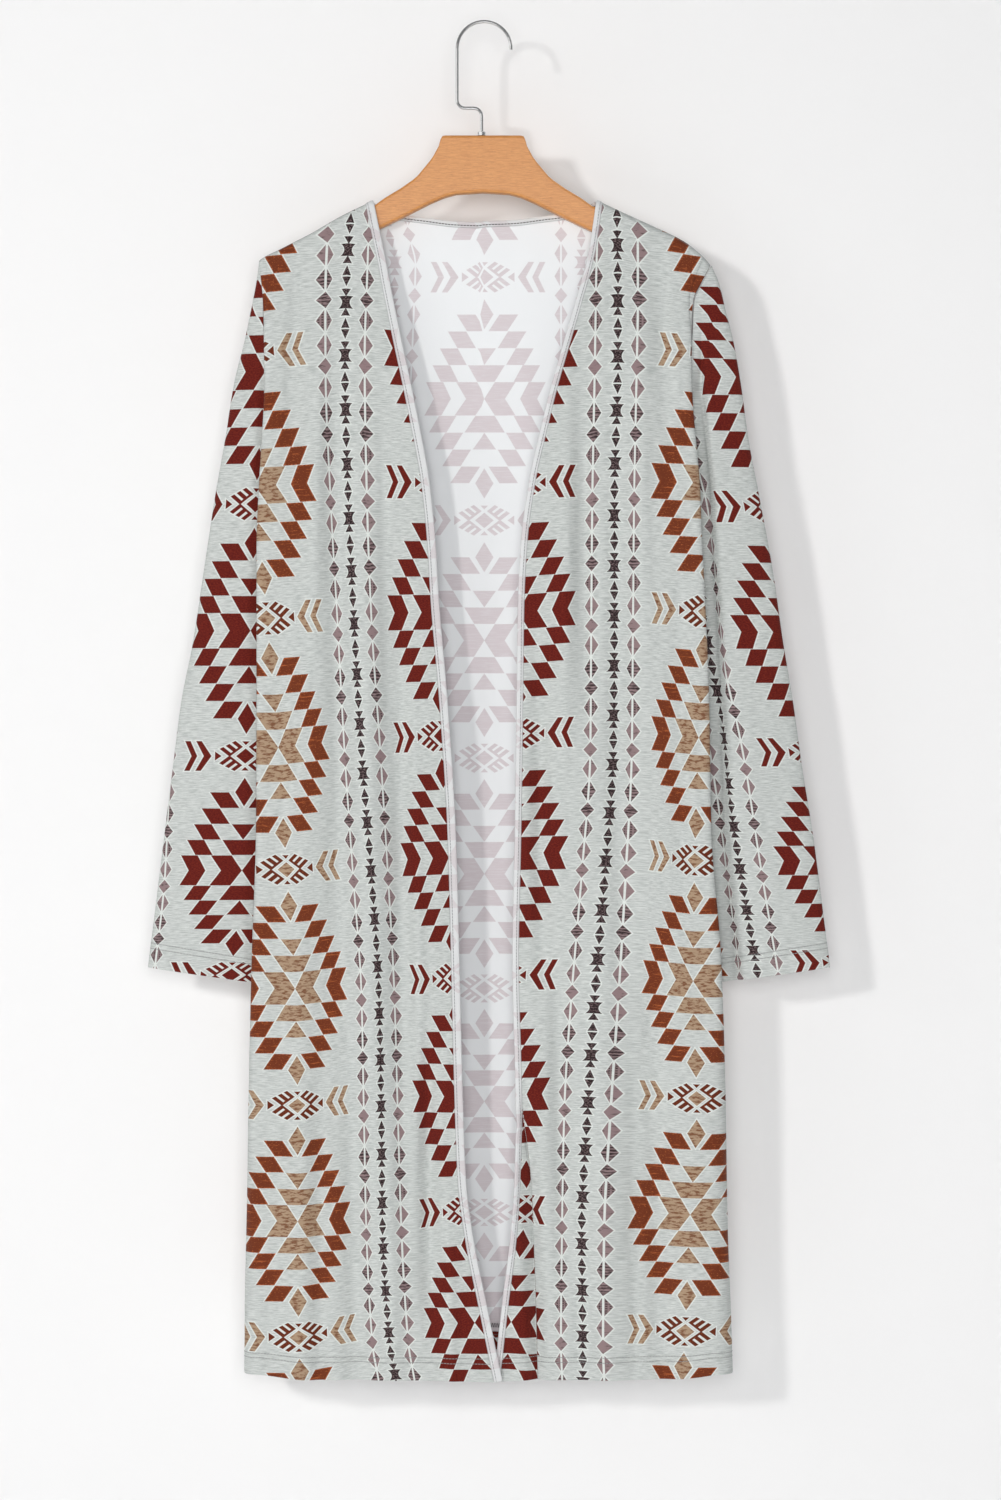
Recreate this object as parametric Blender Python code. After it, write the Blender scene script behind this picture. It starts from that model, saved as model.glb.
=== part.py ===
"""An open-front jersey duster cardigan that hangs flat on a wooden hanger.

The frame: metres, +Z up, the cardigan's front faces -Y, and the origin is the inside top of
the hanger's hook, where a rail carries it. All named sizes below are in millimetres, and a
height is a distance below the origin. "Right" and "left" are the wearer's, so the right side
is at -X. The cloth's walls are worked out as rows across each panel, from the shoulder seam
down to the hem, and as rings down each sleeve.
"""

import math

import bpy
import numpy as np

MM = 0.001

RIGHT, LEFT = -1, 1
FRONT, BACK = -1, 1

# Cloth
WALL = 1.4
HEM_WALL = 2.6
HEM_TURN = 22.0
SEAM_GAP = 0.3
LAP = 1.9

# Places on the body
TIP = {RIGHT: 196.0, LEFT: 199.5}
NECK_X = 97.5
NECK_HEIGHT = 148.0
UNDERARM_DROP = 210.0
BODY_TOP = 198.0
HEM_DROP = 916.0
HEM_REACH = 70.0

# Bands
FRONT_BAND = {RIGHT: 7.2, LEFT: 5.6}
BACK_BAND = 5.2
BACK_BAND_GAP = 0.8
BAND_THICK = 2.2

# Hanger and hook
HANGER_X = -1.0
HANGER_HALF_THICK = 5.8
HANGER_EDGE = 2.4
HOOK_RADIUS = 22.2
HOOK_START = -3.0
WIRE_RADIUS = 1.4
WIRE_TO_BEND = 62.5
WIRE_BEND = 6.5
WIRE_STEP_HEIGHT = 70.0
WIRE_FOOT_X = -2.0
WIRE_FOOT_HEIGHT = 89.2
FERRULE_RADIUS = 3.5
FERRULE_TOP = 89.5
FERRULE_FOOT = 92.7

# The body seen from the front, a row for each height: its two side edges, and where each
# front panel ends at its band.
BODY = {
    "height": (148, 196, 213, 230, 257, 300, 345, 380, 430, 480, 555, 665, 770, 890, 952,
               1000, 1050, 1117),
    "right_edge": (-187, -185, -183, -181.5, -180.5, -180, -182, -184, -186, -186, -186,
                   -186.5, -190, -193, -194, -195, -196, -196.5),
    "right_opening": (-97.5, -87, -84, -80.5, -75.5, -68, -59.5, -52, -46.5, -43.5, -37, -30,
                      -27, -24, -21.5, -15.5, -5.5, 9),
    "left_opening": (97.5, 88, 84.5, 81, 75, 58, 49, 42, 35.5, 33, 32, 30.5, 28.5, 31, 29.5,
                     26.5, 20.5, 12.5),
    "left_edge": (190, 187, 179, 171.5, 170, 170.5, 173.5, 176.5, 178.5, 181, 184, 186, 194,
                  198, 199, 200, 202, 204),
}

# The shoulder seam, from the neck out to the sleeve.
SHOULDER = {
    "out": (97.5, 118, 142, 157, 168, 181, 187),
    "right_height": (148.5, 158.5, 172.3, 180, 185.7, 192, 196.5),
    "left_height": (148.5, 158, 169, 176, 182.5, 193.5, 200.5),
}

# The back neck edge of the back panel, below its band: straight back over the hanger from
# each shoulder seam, then in along the back.
NECK = {
    "out": (0, 25, 49, 67, 78, 85, 89.8, 93.2, 96, 97.5),
    "height": (167, 166, 163, 160.8, 158.8, 156.2, 153.4, 150.8, 148.9, 148),
    "depth": (9.2, 9.2, 9.2, 9.2, 9.2, 9.2, 8.8, 7.4, 4.4, 0.15),
}

# How far a panel stands from the middle plane, by its drop below the shoulder seam.
DEPTH = {
    "drop": (0, 0.6, 2.8, 8, 24, 60, 110, 210, 360, 600, 918),
    "front": (0.15, 4.0, 7.4, 8.4, 9.6, 13, 17, 20.5, 22, 23, 24),
    "back": (0.15, 4.0, 7.4, 8.4, 9.6, 13, 16.6, 19.8, 20.6, 21, 22),
}

# The side of a panel, by the same drop: how far its edge is tucked in to the armhole or the
# side seam (below nothing where it reaches past the fold), how wide the fold is rounded, the
# fold's share of the depth, and half the armhole's width.
SIDE = {
    "drop": (0, 0.6, 2.8, 8, 24, 60, 110, 160, 190, 203, 210, 250, 360, 460, 560, 620, 690,
             760, 918),
    "tuck": (-6, -6, -5.8, -5.5, -4, 0.5, 12, 32, 45, 50, 52, 57, 58, 52, 36, 20, 7, 1, 0.5),
    "round": (3, 3, 3, 3, 3.5, 5, 5, 5, 5, 5, 5, 5, 5, 5, 6, 8, 11, 14, 14),
    "fold": (1, 0.97, 0.95, 0.92, 0.88, 0.82, 0.82, 0.84, 0.85, 0.85, 0.85, 0.86, 0.86, 0.84,
             0.78, 0.68, 0.55, 0.46, 0.45),
    "armhole": (0.15, 2.2, 4.3, 5.4, 6.4, 8.6, 11.6, 11.8, 9.2, 5.4, 0.15, 0.15, 0.15, 0.15,
                0.15, 0.15, 0.15, 0.15, 0.15),
}

# How much of the shoulder's slope a row still has.
SLOPE = {"drop": (0, 24, 60, 110, 160, 918), "share": (1, 1, 0.75, 0.3, 0, 0)}

# How a hem leaves a level line, across a front panel and across the back.
FRONT_HEM = {"across": (0, 0.3, 0.8, 1), "dip": (3, 1, 0, -4)}
BACK_HEM = {"across": (0, 0.5, 1), "dip": (-18, -12, -3)}

# How a front's opening edge is drawn back from the panel's depth: its share of the depth, the
# drop it starts at and the length it comes in over, and the left front's further draw.
DRAWN_SHARE, DRAWN_FROM, DRAWN_OVER = 0.22, 40.0, 200.0
LEFT_DRAWN, LEFT_DRAWN_FROM, LEFT_DRAWN_OVER = 3.5, 700.0, 200.0

# How the tucked part of a row curves: the shares of the fold's depth that steer it.
TUCK_FIRST_LEAST, TUCK_FIRST, TUCK_SECOND = 0.72, 0.4, 0.75

# The main folds. Each runs down from its top to its bottom height along a slanted line, at
# its half width, and rises (or sinks, below nothing) from the panel.
FOLD_FULLNESS = 0.7
EDGE_CALM = 5.0
FOLD_COLUMNS = ("x_top", "x_bottom", "top", "bottom", "width", "rise")
FOLDS = {
    "front_right": (
        (-122, -117, 270, 820, 11, -3.2),
        (-98, -92, 330, 1180, 13, 2.6),
        (-71, -64, 400, 1020, 9, -2.6),
        (-106, -101, 790, 1220, 12, -3.4),
        (-47, -44, 820, 1080, 8, -3.6),
        (-152, -150, 600, 1220, 15, 2.4),
    ),
    "front_left": (
        (81, 85, 270, 600, 10, -3.0),
        (108, 113, 300, 800, 11, -3.0),
        (45, 48, 500, 800, 8, -2.8),
        (60, 66, 760, 1040, 9, -3.0),
        (138, 147, 760, 1220, 13, -3.2),
        (95, 100, 700, 1220, 13, 2.4),
        (35, 47, 870, 1200, 7, -3.6),
    ),
    "back": (
        (-120, -128, 300, 1220, 16, -3.2),
        (-62, -58, 420, 1220, 18, 3.0),
        (8, 4, 330, 1000, 20, 2.6),
        (66, 74, 500, 1220, 17, -3.2),
        (124, 130, 300, 1220, 16, 3.0),
    ),
}

# A sleeve from the front: its outer edge by height, and how far its inner edge lies behind
# the body's edge.
SLEEVE = {
    "height": (190, 197, 212, 238, 262, 296, 343, 388, 454, 510, 558, 612, 668, 725, 780),
    "right_outer": (-184, -185, -187, -192, -197, -205.5, -213, -221, -231, -239.5, -249,
                    -256, -263, -270, -277),
    "left_outer": (184, 186, 192.5, 199, 205, 211, 217.5, 226, 238, 246, 254, 261.5, 270.5,
                   278, 285),
}
TUCKED = {
    "height": (406, 411, 425, 500, 560, 650, 720, 800),
    "depth": (52, 44, 43, 44, 43, 38, 29, 18),
}
CUFF_OUTER, CUFF_INNER = 778.0, 793.0
SLEEVE_DEPTH = {"along": (0, 0.12, 0.3, 0.6, 1), "half": (9.5, 9.6, 10.2, 10.4, 9.0)}
OUTER_PACE, INNER_PACE = 1.1, 1.5
SEAM_REACH = 0.25
RING_FULLNESS = 0.45
SLEEVE_FOLDS = {
    RIGHT: ((0.30, 0.55, 0.62, 0.10, -1.8), (0.62, 0.92, 0.35, 0.12, 1.5)),
    LEFT: ((0.28, 0.60, 0.60, 0.10, -1.8), (0.55, 0.95, 0.38, 0.12, 1.5)),
}

# The hanger from the front, by the distance from its middle.
HANGER = {
    "out": (0, 31, 33.5, 35, 36.5, 44, 54, 68, 81, 90, 97, 118, 142, 160, 168, 173),
    "top": (93, 93, 93.6, 96.5, 102, 114.5, 126.5, 136.8, 144.6, 151.2, 152.8, 162.4, 176,
            185.4, 190.4, 195.5),
}
HANGER_UNDER = {
    "out": (0, 22, 41, 58, 76, 90, 118, 142, 160, 168, 173),
    "foot": (140, 141.4, 148, 156.5, 165.5, 172, 186, 198.5, 206, 207.5, 204),
}

# Mesh steps
ARMHOLE_DROPS = (0, 0.6, 2.8, 8, 24, 60, 100, 140, 175, 197, 206, 210)
SIDE_DROPS = (230, 270, 320, 380, 440, 500, 560, 620, 690, 760, 830, HEM_DROP - HEM_TURN,
              HEM_DROP)
PANEL_DROPS = ARMHOLE_DROPS + SIDE_DROPS
FRONT_STEPS = 10
BACK_OUTER = (0.35, 0.7, 1)
SPREAD_DROP = 140.0
ROUND_STEPS = 2
TUCK_STEPS = 5
SLEEVE_RINGS = 18
BAND_SIDES = 8
BAND_SQUARENESS = 0.35
HOOK_STEPS = 20
BEND_STEPS = 5
FERRULE_SIDES = 20
FERRULE_BEVEL = 0.5
SHARP_ANGLE = 40.0

# Colour, roughness and metallic value
CLOTH = ((0.60, 0.63, 0.59), 0.85, 0.0)
BAND = ((0.74, 0.73, 0.71), 0.85, 0.0)
WOOD = ((0.72, 0.42, 0.20), 0.45, 0.0)
STEEL = ((0.75, 0.75, 0.76), 0.22, 1.0)


def follow(xs, ys, at):
    """Reads the smooth line through the points (xs, ys) at `at`; it never overshoots."""
    xs, ys = np.asarray(xs, float), np.asarray(ys, float)
    at = np.clip(np.asarray(at, float), xs[0], xs[-1])
    step = np.diff(xs)
    slope = np.diff(ys) / step
    before, after = slope[:-1], slope[1:]
    agree = before * after > 0
    middle = np.where(agree, 2 * before * after / np.where(agree, before + after, 1), 0)
    tangent = np.concatenate((slope[:1], middle, slope[-1:]))
    i = np.clip(np.searchsorted(xs, at) - 1, 0, len(step) - 1)
    t = (at - xs[i]) / step[i]
    return (
        ys[i] * (1 + 2 * t) * (1 - t) ** 2
        + ys[i + 1] * t * t * (3 - 2 * t)
        + step[i] * (tangent[i] * t * (1 - t) ** 2 - tangent[i + 1] * t * t * (1 - t))
    )


def ease(t):
    """0 to 1, with a soft start and end."""
    t = min(max(t, 0.0), 1.0)
    return t * t * (3 - 2 * t)


def side_name(side):
    return "right" if side == RIGHT else "left"


def body_line(side, line, height):
    """The x of a side's `edge` or `opening` at a height."""
    return float(follow(BODY["height"], BODY[f"{side_name(side)}_{line}"], height))


def side_size(name, drop):
    return float(follow(SIDE["drop"], SIDE[name], drop))


def level(side, drop):
    """The height of a row's outer end, level on both sides from the underarm down."""
    share = min(drop / UNDERARM_DROP, 1.0)
    return drop + TIP[side] + (BODY_TOP - TIP[side]) * share


def shoulder(side, out):
    """The height of the shoulder seam at a distance out from the middle."""
    return float(follow(SHOULDER["out"], SHOULDER[f"{side_name(side)}_height"], out))


def fold_rise(panel, x, height):
    """How far the panel's folds move it out at one place."""
    rise = 0.0
    for row in FOLDS[panel]:
        fold = dict(zip(FOLD_COLUMNS, row))
        along = (height - fold["top"]) / (fold["bottom"] - fold["top"])
        if 0 < along < 1:
            line = fold["x_top"] + (fold["x_bottom"] - fold["x_top"]) * along
            swell = math.sin(math.pi * along) ** FOLD_FULLNESS
            rise += fold["rise"] * swell * math.exp(-(((x - line) / fold["width"]) ** 2))
    return rise


def side_section(side, face, drop, depth):
    """The fold and the tucked part of a row, as (x, depth) pairs from the fold's start."""
    height = level(side, drop)
    tuck = side_size("tuck", drop)
    apex_x = body_line(side, "edge", height) + side * min(tuck, 0.0)
    end_x = apex_x - side * tuck
    apex = depth * side_size("fold", drop)
    end = side_size("armhole", drop)
    wide = side_size("round", drop)
    pairs = []
    for i in range(1, ROUND_STEPS + 1):
        turn = math.pi / 2 * i / ROUND_STEPS
        across = apex_x - side * wide * (1 - math.sin(turn))
        pairs.append((across, apex + (depth - apex) * math.cos(turn)))
    first = max(TUCK_FIRST_LEAST * apex, end + TUCK_FIRST * (apex - end))
    steer = (apex, first, end + TUCK_SECOND * (apex - end), end)
    for i in range(1, TUCK_STEPS + 1):
        t = i / TUCK_STEPS
        weights = ((1 - t) ** 3, 3 * t * (1 - t) ** 2, 3 * t * t * (1 - t), t**3)
        across = apex_x + (end_x - apex_x) * (weights[2] + weights[3])
        pairs.append((across, sum(w * s for w, s in zip(weights, steer))))
    return apex_x - side * wide, pairs


def front_row(side, drop):
    """One row of a front panel, from its opening out to the armhole or side seam."""
    panel = f"front_{side_name(side)}"
    height = level(side, drop)
    slope = float(follow(SLOPE["drop"], SLOPE["share"], drop))
    depth = float(follow(DEPTH["drop"], DEPTH["front"], drop))
    hem = ease((drop - HEM_DROP + HEM_REACH) / HEM_REACH)
    free = ease((drop - DRAWN_FROM) / DRAWN_OVER)
    opening = body_line(side, "opening", height + slope * (NECK_HEIGHT - TIP[side]))
    start, tail = side_section(side, FRONT, drop, depth)
    reach = start - opening
    row = []
    for i in range(FRONT_STEPS + 1):
        c = i / FRONT_STEPS
        x = opening + reach * c
        y = depth * (1 - DRAWN_SHARE * free * (1 - c) ** 2)
        if side == LEFT:
            y -= LEFT_DRAWN * ease((drop - LEFT_DRAWN_FROM) / LEFT_DRAWN_OVER) * (1 - c) ** 2
        row.append((x, y + fold_rise(panel, x, height) * min(1.0, EDGE_CALM * (1 - c)), c))
    row += [(x, y, 1.0) for x, y in tail]
    points = []
    for x, y, c in row:
        drawn = slope * (shoulder(side, abs(x)) - shoulder(side, abs(row[-1][0])))
        dip = hem * float(follow(FRONT_HEM["across"], FRONT_HEM["dip"], c))
        points.append((x, FRONT * y, -(height + drawn + dip)))
    return points


def back_row(drop):
    """One row of the back panel, from the right side seam to the left one."""
    slope = float(follow(SLOPE["drop"], SLOPE["share"], drop))
    depth = float(follow(DEPTH["drop"], DEPTH["back"], drop))
    hem = ease((drop - HEM_DROP + HEM_REACH) / HEM_REACH)
    halves = {}
    for side in (RIGHT, LEFT):
        height = level(side, drop)
        start, tail = side_section(side, BACK, drop, depth)
        half = []
        reach = abs(start) - NECK_X
        even = ease(drop / SPREAD_DROP)
        outs = [
            out + even * (NECK_X * i / (len(NECK["out"]) - 1) - out)
            for i, out in enumerate(NECK["out"])
        ]
        outs += [NECK_X + reach * share for share in BACK_OUTER]
        for out in outs:
            x = side * out
            c = out / abs(start)
            rise = fold_rise("back", x, height) * min(1.0, EDGE_CALM * (1 - c))
            half.append((x, depth + rise, c))
        half += [(x, y, 1.0) for x, y in tail]
        end = abs(half[-1][0])
        points = []
        for x, y, c in half:
            out = abs(x)
            top = shoulder(side, out)
            if out < NECK_X:
                top = float(follow(NECK["out"], NECK["height"], out))
                y = max(y, float(follow(NECK["out"], NECK["depth"], out)))
            dip = hem * float(follow(BACK_HEM["across"], BACK_HEM["dip"], c))
            points.append((x, BACK * y, -(height + slope * (top - shoulder(side, end)) + dip)))
        halves[side] = points
    return halves[RIGHT][:0:-1] + halves[LEFT]


def armhole(side):
    """The sleeve's seam in front, from the shoulder to the underarm, lapped under the panel."""
    loop = []
    for drop in ARMHOLE_DROPS:
        tuck = side_size("tuck", drop)
        height = level(side, drop)
        x = body_line(side, "edge", height) + side * min(tuck, 0.0) - side * tuck
        loop.append((x, -side_size("armhole", drop), -height))
    loop = np.array(loop)
    run = np.gradient(loop[:, 1:], axis=0)
    run[0], run[-1] = (-1, 0), (1, 0)
    run /= np.linalg.norm(run, axis=1, keepdims=True)
    seam = loop.copy()
    seam[:, 1] -= LAP * run[:, 1]
    seam[:, 2] += LAP * run[:, 0]
    seam[0, 1] = seam[-1, 1] = 0.0
    return seam


def sleeve_ring(side, along, seam):
    """One ring of a sleeve, from its outer edge down the front and up the back."""
    name = side_name(side)
    top = TIP[side] + LAP + (CUFF_OUTER - TIP[side] - LAP) * along**OUTER_PACE
    under = level(side, UNDERARM_DROP) - LAP
    foot = under + (CUFF_INNER - under) * along**INNER_PACE
    outer_x = float(follow(SLEEVE["height"], SLEEVE[f"{name}_outer"], top))
    depth = float(follow(SLEEVE_DEPTH["along"], SLEEVE_DEPTH["half"], along))
    inner_x = body_line(side, "edge", foot)
    inner_x -= side * float(follow(TUCKED["height"], TUCKED["depth"], foot))
    seamed = max(0.0, 1 - along / SEAM_REACH) ** 2
    first, last = seam[0], seam[-1]
    half = []
    for on_seam in seam:
        s = (first[2] - on_seam[2]) / (first[2] - last[2])
        x = outer_x + (inner_x - outer_x) * s
        z = -(top + (foot - top) * s)
        y = -depth * (4 * s * (1 - s)) ** RING_FULLNESS
        for start, end, line, width, rise in SLEEVE_FOLDS[side]:
            if start < along < end:
                swell = math.sin(math.pi * (along - start) / (end - start))
                y -= rise * swell * math.exp(-(((s - line) / width) ** 2))
        straight = first + (last - first) * s
        x += seamed * (on_seam[0] - straight[0])
        z += seamed * (on_seam[2] - straight[2])
        half.append((x, y * (1 - seamed) + on_seam[1] * seamed, z))
    back = [(x, -y, z) for x, y, z in half[-2:0:-1]]
    return half + back


def material(name, look):
    colour, roughness, metallic = look
    made = bpy.data.materials.new(name)
    made.use_nodes = True
    shader = made.node_tree.nodes["Principled BSDF"]
    shader.inputs["Base Color"].default_value = (*colour, 1.0)
    shader.inputs["Roughness"].default_value = roughness
    shader.inputs["Metallic"].default_value = metallic
    return made


def add_mesh(name, points, faces, look):
    """A smooth-shaded object from points in millimetres."""
    mesh = bpy.data.meshes.new(name)
    mesh.from_pydata([[MM * value for value in point] for point in points], [], faces)
    mesh.materials.append(material(name, look))
    mesh.shade_smooth()
    mesh.set_sharp_from_angle(angle=math.radians(SHARP_ANGLE))
    made = bpy.data.objects.new(name, mesh)
    bpy.context.scene.collection.objects.link(made)
    return made


def grid_normals(grid, wraps):
    """Unit normals of a grid of points, on the side that faces out of the garment."""
    along = np.gradient(grid, axis=0)
    if wraps:
        across = (np.roll(grid, -1, axis=1) - np.roll(grid, 1, axis=1)) / 2
    else:
        across = np.gradient(grid, axis=1)
    normals = np.cross(across, along)
    return normals / np.linalg.norm(normals, axis=2, keepdims=True)


def add_wall(name, rows, look, flip, wraps=False, hem_from=None):
    """A closed wall round a grid of middle points, thicker inside from the hem's turn on."""
    grid = np.array(rows, float)
    normals = grid_normals(grid, wraps) * (-1 if flip else 1)
    if not wraps:
        on_seam = np.abs(grid[..., 1]) < SEAM_GAP
        normals[on_seam, 1] = 0.0
        normals /= np.linalg.norm(normals, axis=2, keepdims=True)
    inner = np.full(grid.shape[:2], WALL / 2)
    if hem_from is not None:
        inner[hem_from:] = HEM_WALL - WALL / 2
    count, width = grid.shape[:2]
    outside = grid + normals * WALL / 2
    inside = grid - normals * inner[..., None]
    points = np.concatenate((outside.reshape(-1, 3), inside.reshape(-1, 3)))
    size = count * width
    faces = []

    def face(*corners):
        faces.append(corners[::-1] if flip else corners)

    last = width if wraps else width - 1
    for i in range(count - 1):
        for j in range(last):
            k = (j + 1) % width
            a, b, c, d = i * width + j, i * width + k, (i + 1) * width + k, (i + 1) * width + j
            face(a, b, c)
            face(a, c, d)
            face(size + c, size + b, size + a)
            face(size + d, size + c, size + a)
    for j in range(last):
        k = (j + 1) % width
        face(k, j, size + j, size + k)
        low = (count - 1) * width
        face(low + j, low + k, size + low + k, size + low + j)
    if not wraps:
        for i in range(count - 1):
            a, d = i * width, (i + 1) * width
            face(a, d, size + d, size + a)
            b, c = a + width - 1, d + width - 1
            face(c, b, size + b, size + c)
    return add_mesh(name, points.tolist(), faces, look)


def add_strip(name, centres, across, out, half_wide, half_thick, look):
    """A band with rounded edges along its centre points."""
    section = []
    step = 2 * math.pi / BAND_SIDES
    highest = math.cos(step / 2)
    for i in range(BAND_SIDES):
        turn = step * (i + 0.5)
        wide = math.copysign(abs(math.cos(turn)) ** BAND_SQUARENESS, math.cos(turn))
        section.append((half_wide * wide, half_thick * math.sin(turn) / highest))
    points, faces = [], []
    for centre, side_way, out_way in zip(centres, across, out):
        for wide, thick in section:
            points.append([centre[k] + side_way[k] * wide + out_way[k] * thick for k in range(3)])
    count = len(section)
    for i in range(len(centres) - 1):
        for j in range(count):
            k = (j + 1) % count
            a, b = i * count + j, i * count + k
            faces.append((a, b, b + count, a + count))
    faces.append(tuple(range(count))[::-1])
    faces.append(tuple(range(len(points) - count, len(points))))
    strip = add_mesh(name, points, faces, look)
    if signed_volume(strip.data) < 0:
        strip.data.flip_normals()
    return strip


def signed_volume(mesh):
    """Six times the volume that the faces close, below nothing where they face in."""
    total = 0.0
    for polygon in mesh.polygons:
        corners = [mesh.vertices[i].co for i in polygon.vertices]
        for b, c in zip(corners[1:], corners[2:]):
            total += corners[0].dot(b.cross(c))
    return total


def unit(vector):
    return vector / np.linalg.norm(vector)


def add_band(name, edge, ways, wide, gap=SEAM_GAP):
    """A turned edge beside a panel's edge, square across the shoulder seams at y = 0."""
    along = np.gradient(edge, axis=0)
    centres, across, out = [], [], []
    for point, way, tangent in zip(edge, ways, along):
        if abs(point[1]) < SEAM_GAP:
            tangent = np.array((0.0, tangent[1], 0.0))
            way = np.array((-point[0], 0.0, 0.0))
        tangent = unit(tangent)
        way = unit(way - tangent * way.dot(tangent))
        centres.append(point + way * (gap + wide / 2))
        across.append(way)
        out.append(unit(np.cross(tangent, way)))
    add_strip(name, centres, across, out, wide / 2, BAND_THICK / 2, BAND)


def add_front_band(side, panel):
    """The band along a front panel's opening, from the shoulder seam to the hem."""
    grid = np.array(panel, float)
    edge, beside = grid[:, 0], grid[:, 1]
    add_band(f"neck_band_{side_name(side)}", edge, edge - beside, FRONT_BAND[side])


def add_back_band(top_row):
    """The band round the back neck, which turns from flat on the hanger to upright."""
    edge = np.array([point for point in top_row if abs(point[0]) <= NECK_X])
    tilt = [math.pi / 2 * ease(y / max(NECK["depth"])) for y in edge[:, 1]]
    out = np.array([(0.0, math.sin(turn), math.cos(turn)) for turn in tilt])
    ways = np.cross(np.gradient(edge, axis=0), out)
    add_band("neck_band_back", edge, ways, BACK_BAND, BACK_BAND_GAP)


def add_hanger():
    """The wooden body: rounded sections across it, from end to end."""
    half = sorted(set(HANGER["out"]) | set(HANGER_UNDER["out"]))
    half = [out for out in half if out > 0]
    stations = [-out for out in half[::-1]] + [0] + half
    points, faces = [], []
    corner = []
    for i in range(3):
        turn = math.pi / 4 * i
        corner.append((1 - math.cos(turn), 1 - math.sin(turn)))
    for place in stations:
        out = abs(place)
        top = float(follow(HANGER["out"], HANGER["top"], out))
        foot = float(follow(HANGER_UNDER["out"], HANGER_UNDER["foot"], out))
        ring = []
        for side, end, way in ((-1, top, 1), (1, top, 1), (1, foot, -1), (-1, foot, -1)):
            cut = corner if side * way < 0 else corner[::-1]
            for inward, down in cut:
                y = side * (HANGER_HALF_THICK - HANGER_EDGE * inward)
                ring.append((HANGER_X + place, y, -(end + way * HANGER_EDGE * down)))
        points += ring
    count = len(ring)
    for i in range(len(stations) - 1):
        for j in range(count):
            k = (j + 1) % count
            a, b = i * count + j, i * count + k
            faces.append((a, b, b + count, a + count))
    faces.append(tuple(range(count))[::-1])
    faces.append(tuple(range(len(points) - count, len(points))))
    made = add_mesh("hanger_body", points, faces, WOOD)
    if signed_volume(made.data) < 0:
        made.data.flip_normals()


def hook_route():
    """The wire's middle line: the open arc, the straight side, the step and the foot."""
    centre = HOOK_RADIUS - WIRE_RADIUS
    route = []
    for i in range(HOOK_STEPS + 1):
        turn = math.radians(HOOK_START + i * (180 - HOOK_START) / HOOK_STEPS)
        route.append((HOOK_RADIUS * math.cos(turn), -centre + HOOK_RADIUS * math.sin(turn)))
    route.append((-HOOK_RADIUS, -(centre + WIRE_TO_BEND) / 2))
    bend = WIRE_BEND
    corner = WIRE_STEP_HEIGHT - bend
    for i in range(BEND_STEPS + 1):
        turn = math.pi / 2 * i / BEND_STEPS
        x = -HOOK_RADIUS + bend * (1 - math.cos(turn))
        route.append((x, -(corner + bend * math.sin(turn))))
    for i in range(BEND_STEPS + 1):
        turn = math.pi / 2 * i / BEND_STEPS
        x = WIRE_FOOT_X - bend * (1 - math.sin(turn))
        route.append((x, -(WIRE_STEP_HEIGHT + bend * (1 - math.cos(turn)))))
    route.append((WIRE_FOOT_X, -WIRE_FOOT_HEIGHT))
    return route


def add_hook():
    """The bent wire, as a curve with a round bevel and closed ends."""
    curve = bpy.data.curves.new("hanger_hook", "CURVE")
    curve.dimensions = "3D"
    curve.bevel_depth = WIRE_RADIUS * MM
    curve.bevel_resolution = 2
    curve.use_fill_caps = True
    route = hook_route()
    spline = curve.splines.new("POLY")
    spline.points.add(len(route) - 1)
    for point, (x, z) in zip(spline.points, route):
        point.co = (x * MM, 0.0, z * MM, 1.0)
    curve.materials.append(material("hanger_hook", STEEL))
    made = bpy.data.objects.new("hanger_hook", curve)
    bpy.context.scene.collection.objects.link(made)


def add_ferrule():
    """The short collar that the hook's foot turns in."""
    sides = FERRULE_SIDES
    points, faces = [], []
    for radius, height in (
        (FERRULE_RADIUS - FERRULE_BEVEL, FERRULE_TOP),
        (FERRULE_RADIUS, FERRULE_TOP + FERRULE_BEVEL),
        (FERRULE_RADIUS, FERRULE_FOOT),
    ):
        for i in range(sides):
            turn = 2 * math.pi * i / sides
            x = WIRE_FOOT_X + radius * math.cos(turn)
            points.append((x, radius * math.sin(turn), -height))
    for i in range(2):
        for j in range(sides):
            k = (j + 1) % sides
            a, b = i * sides + j, i * sides + k
            faces.append((a, a + sides, b + sides, b))
    faces.append(tuple(range(sides)))
    faces.append(tuple(range(2 * sides, 3 * sides))[::-1])
    add_mesh("hook_ferrule", points, faces, STEEL)


def add_fronts():
    for side in (RIGHT, LEFT):
        rows = [front_row(side, drop) for drop in PANEL_DROPS]
        name = f"front_{side_name(side)}"
        add_wall(name, rows, CLOTH, flip=side == LEFT, hem_from=len(rows) - 2)
        add_front_band(side, rows)


def add_back():
    rows = [back_row(drop) for drop in PANEL_DROPS]
    add_wall("back", rows, CLOTH, flip=True, hem_from=len(rows) - 2)
    add_back_band(rows[0])


def add_sleeves():
    for side in (RIGHT, LEFT):
        seam = armhole(side)
        rows = [sleeve_ring(side, i / SLEEVE_RINGS, seam) for i in range(SLEEVE_RINGS + 1)]
        name = f"sleeve_{side_name(side)}"
        add_wall(name, rows, CLOTH, flip=side == RIGHT, wraps=True, hem_from=SLEEVE_RINGS - 1)


def main():
    for old in list(bpy.data.objects):
        bpy.data.objects.remove(old)
    add_hanger()
    add_hook()
    add_ferrule()
    add_fronts()
    add_back()
    add_sleeves()


main()
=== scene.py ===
import math

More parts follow.
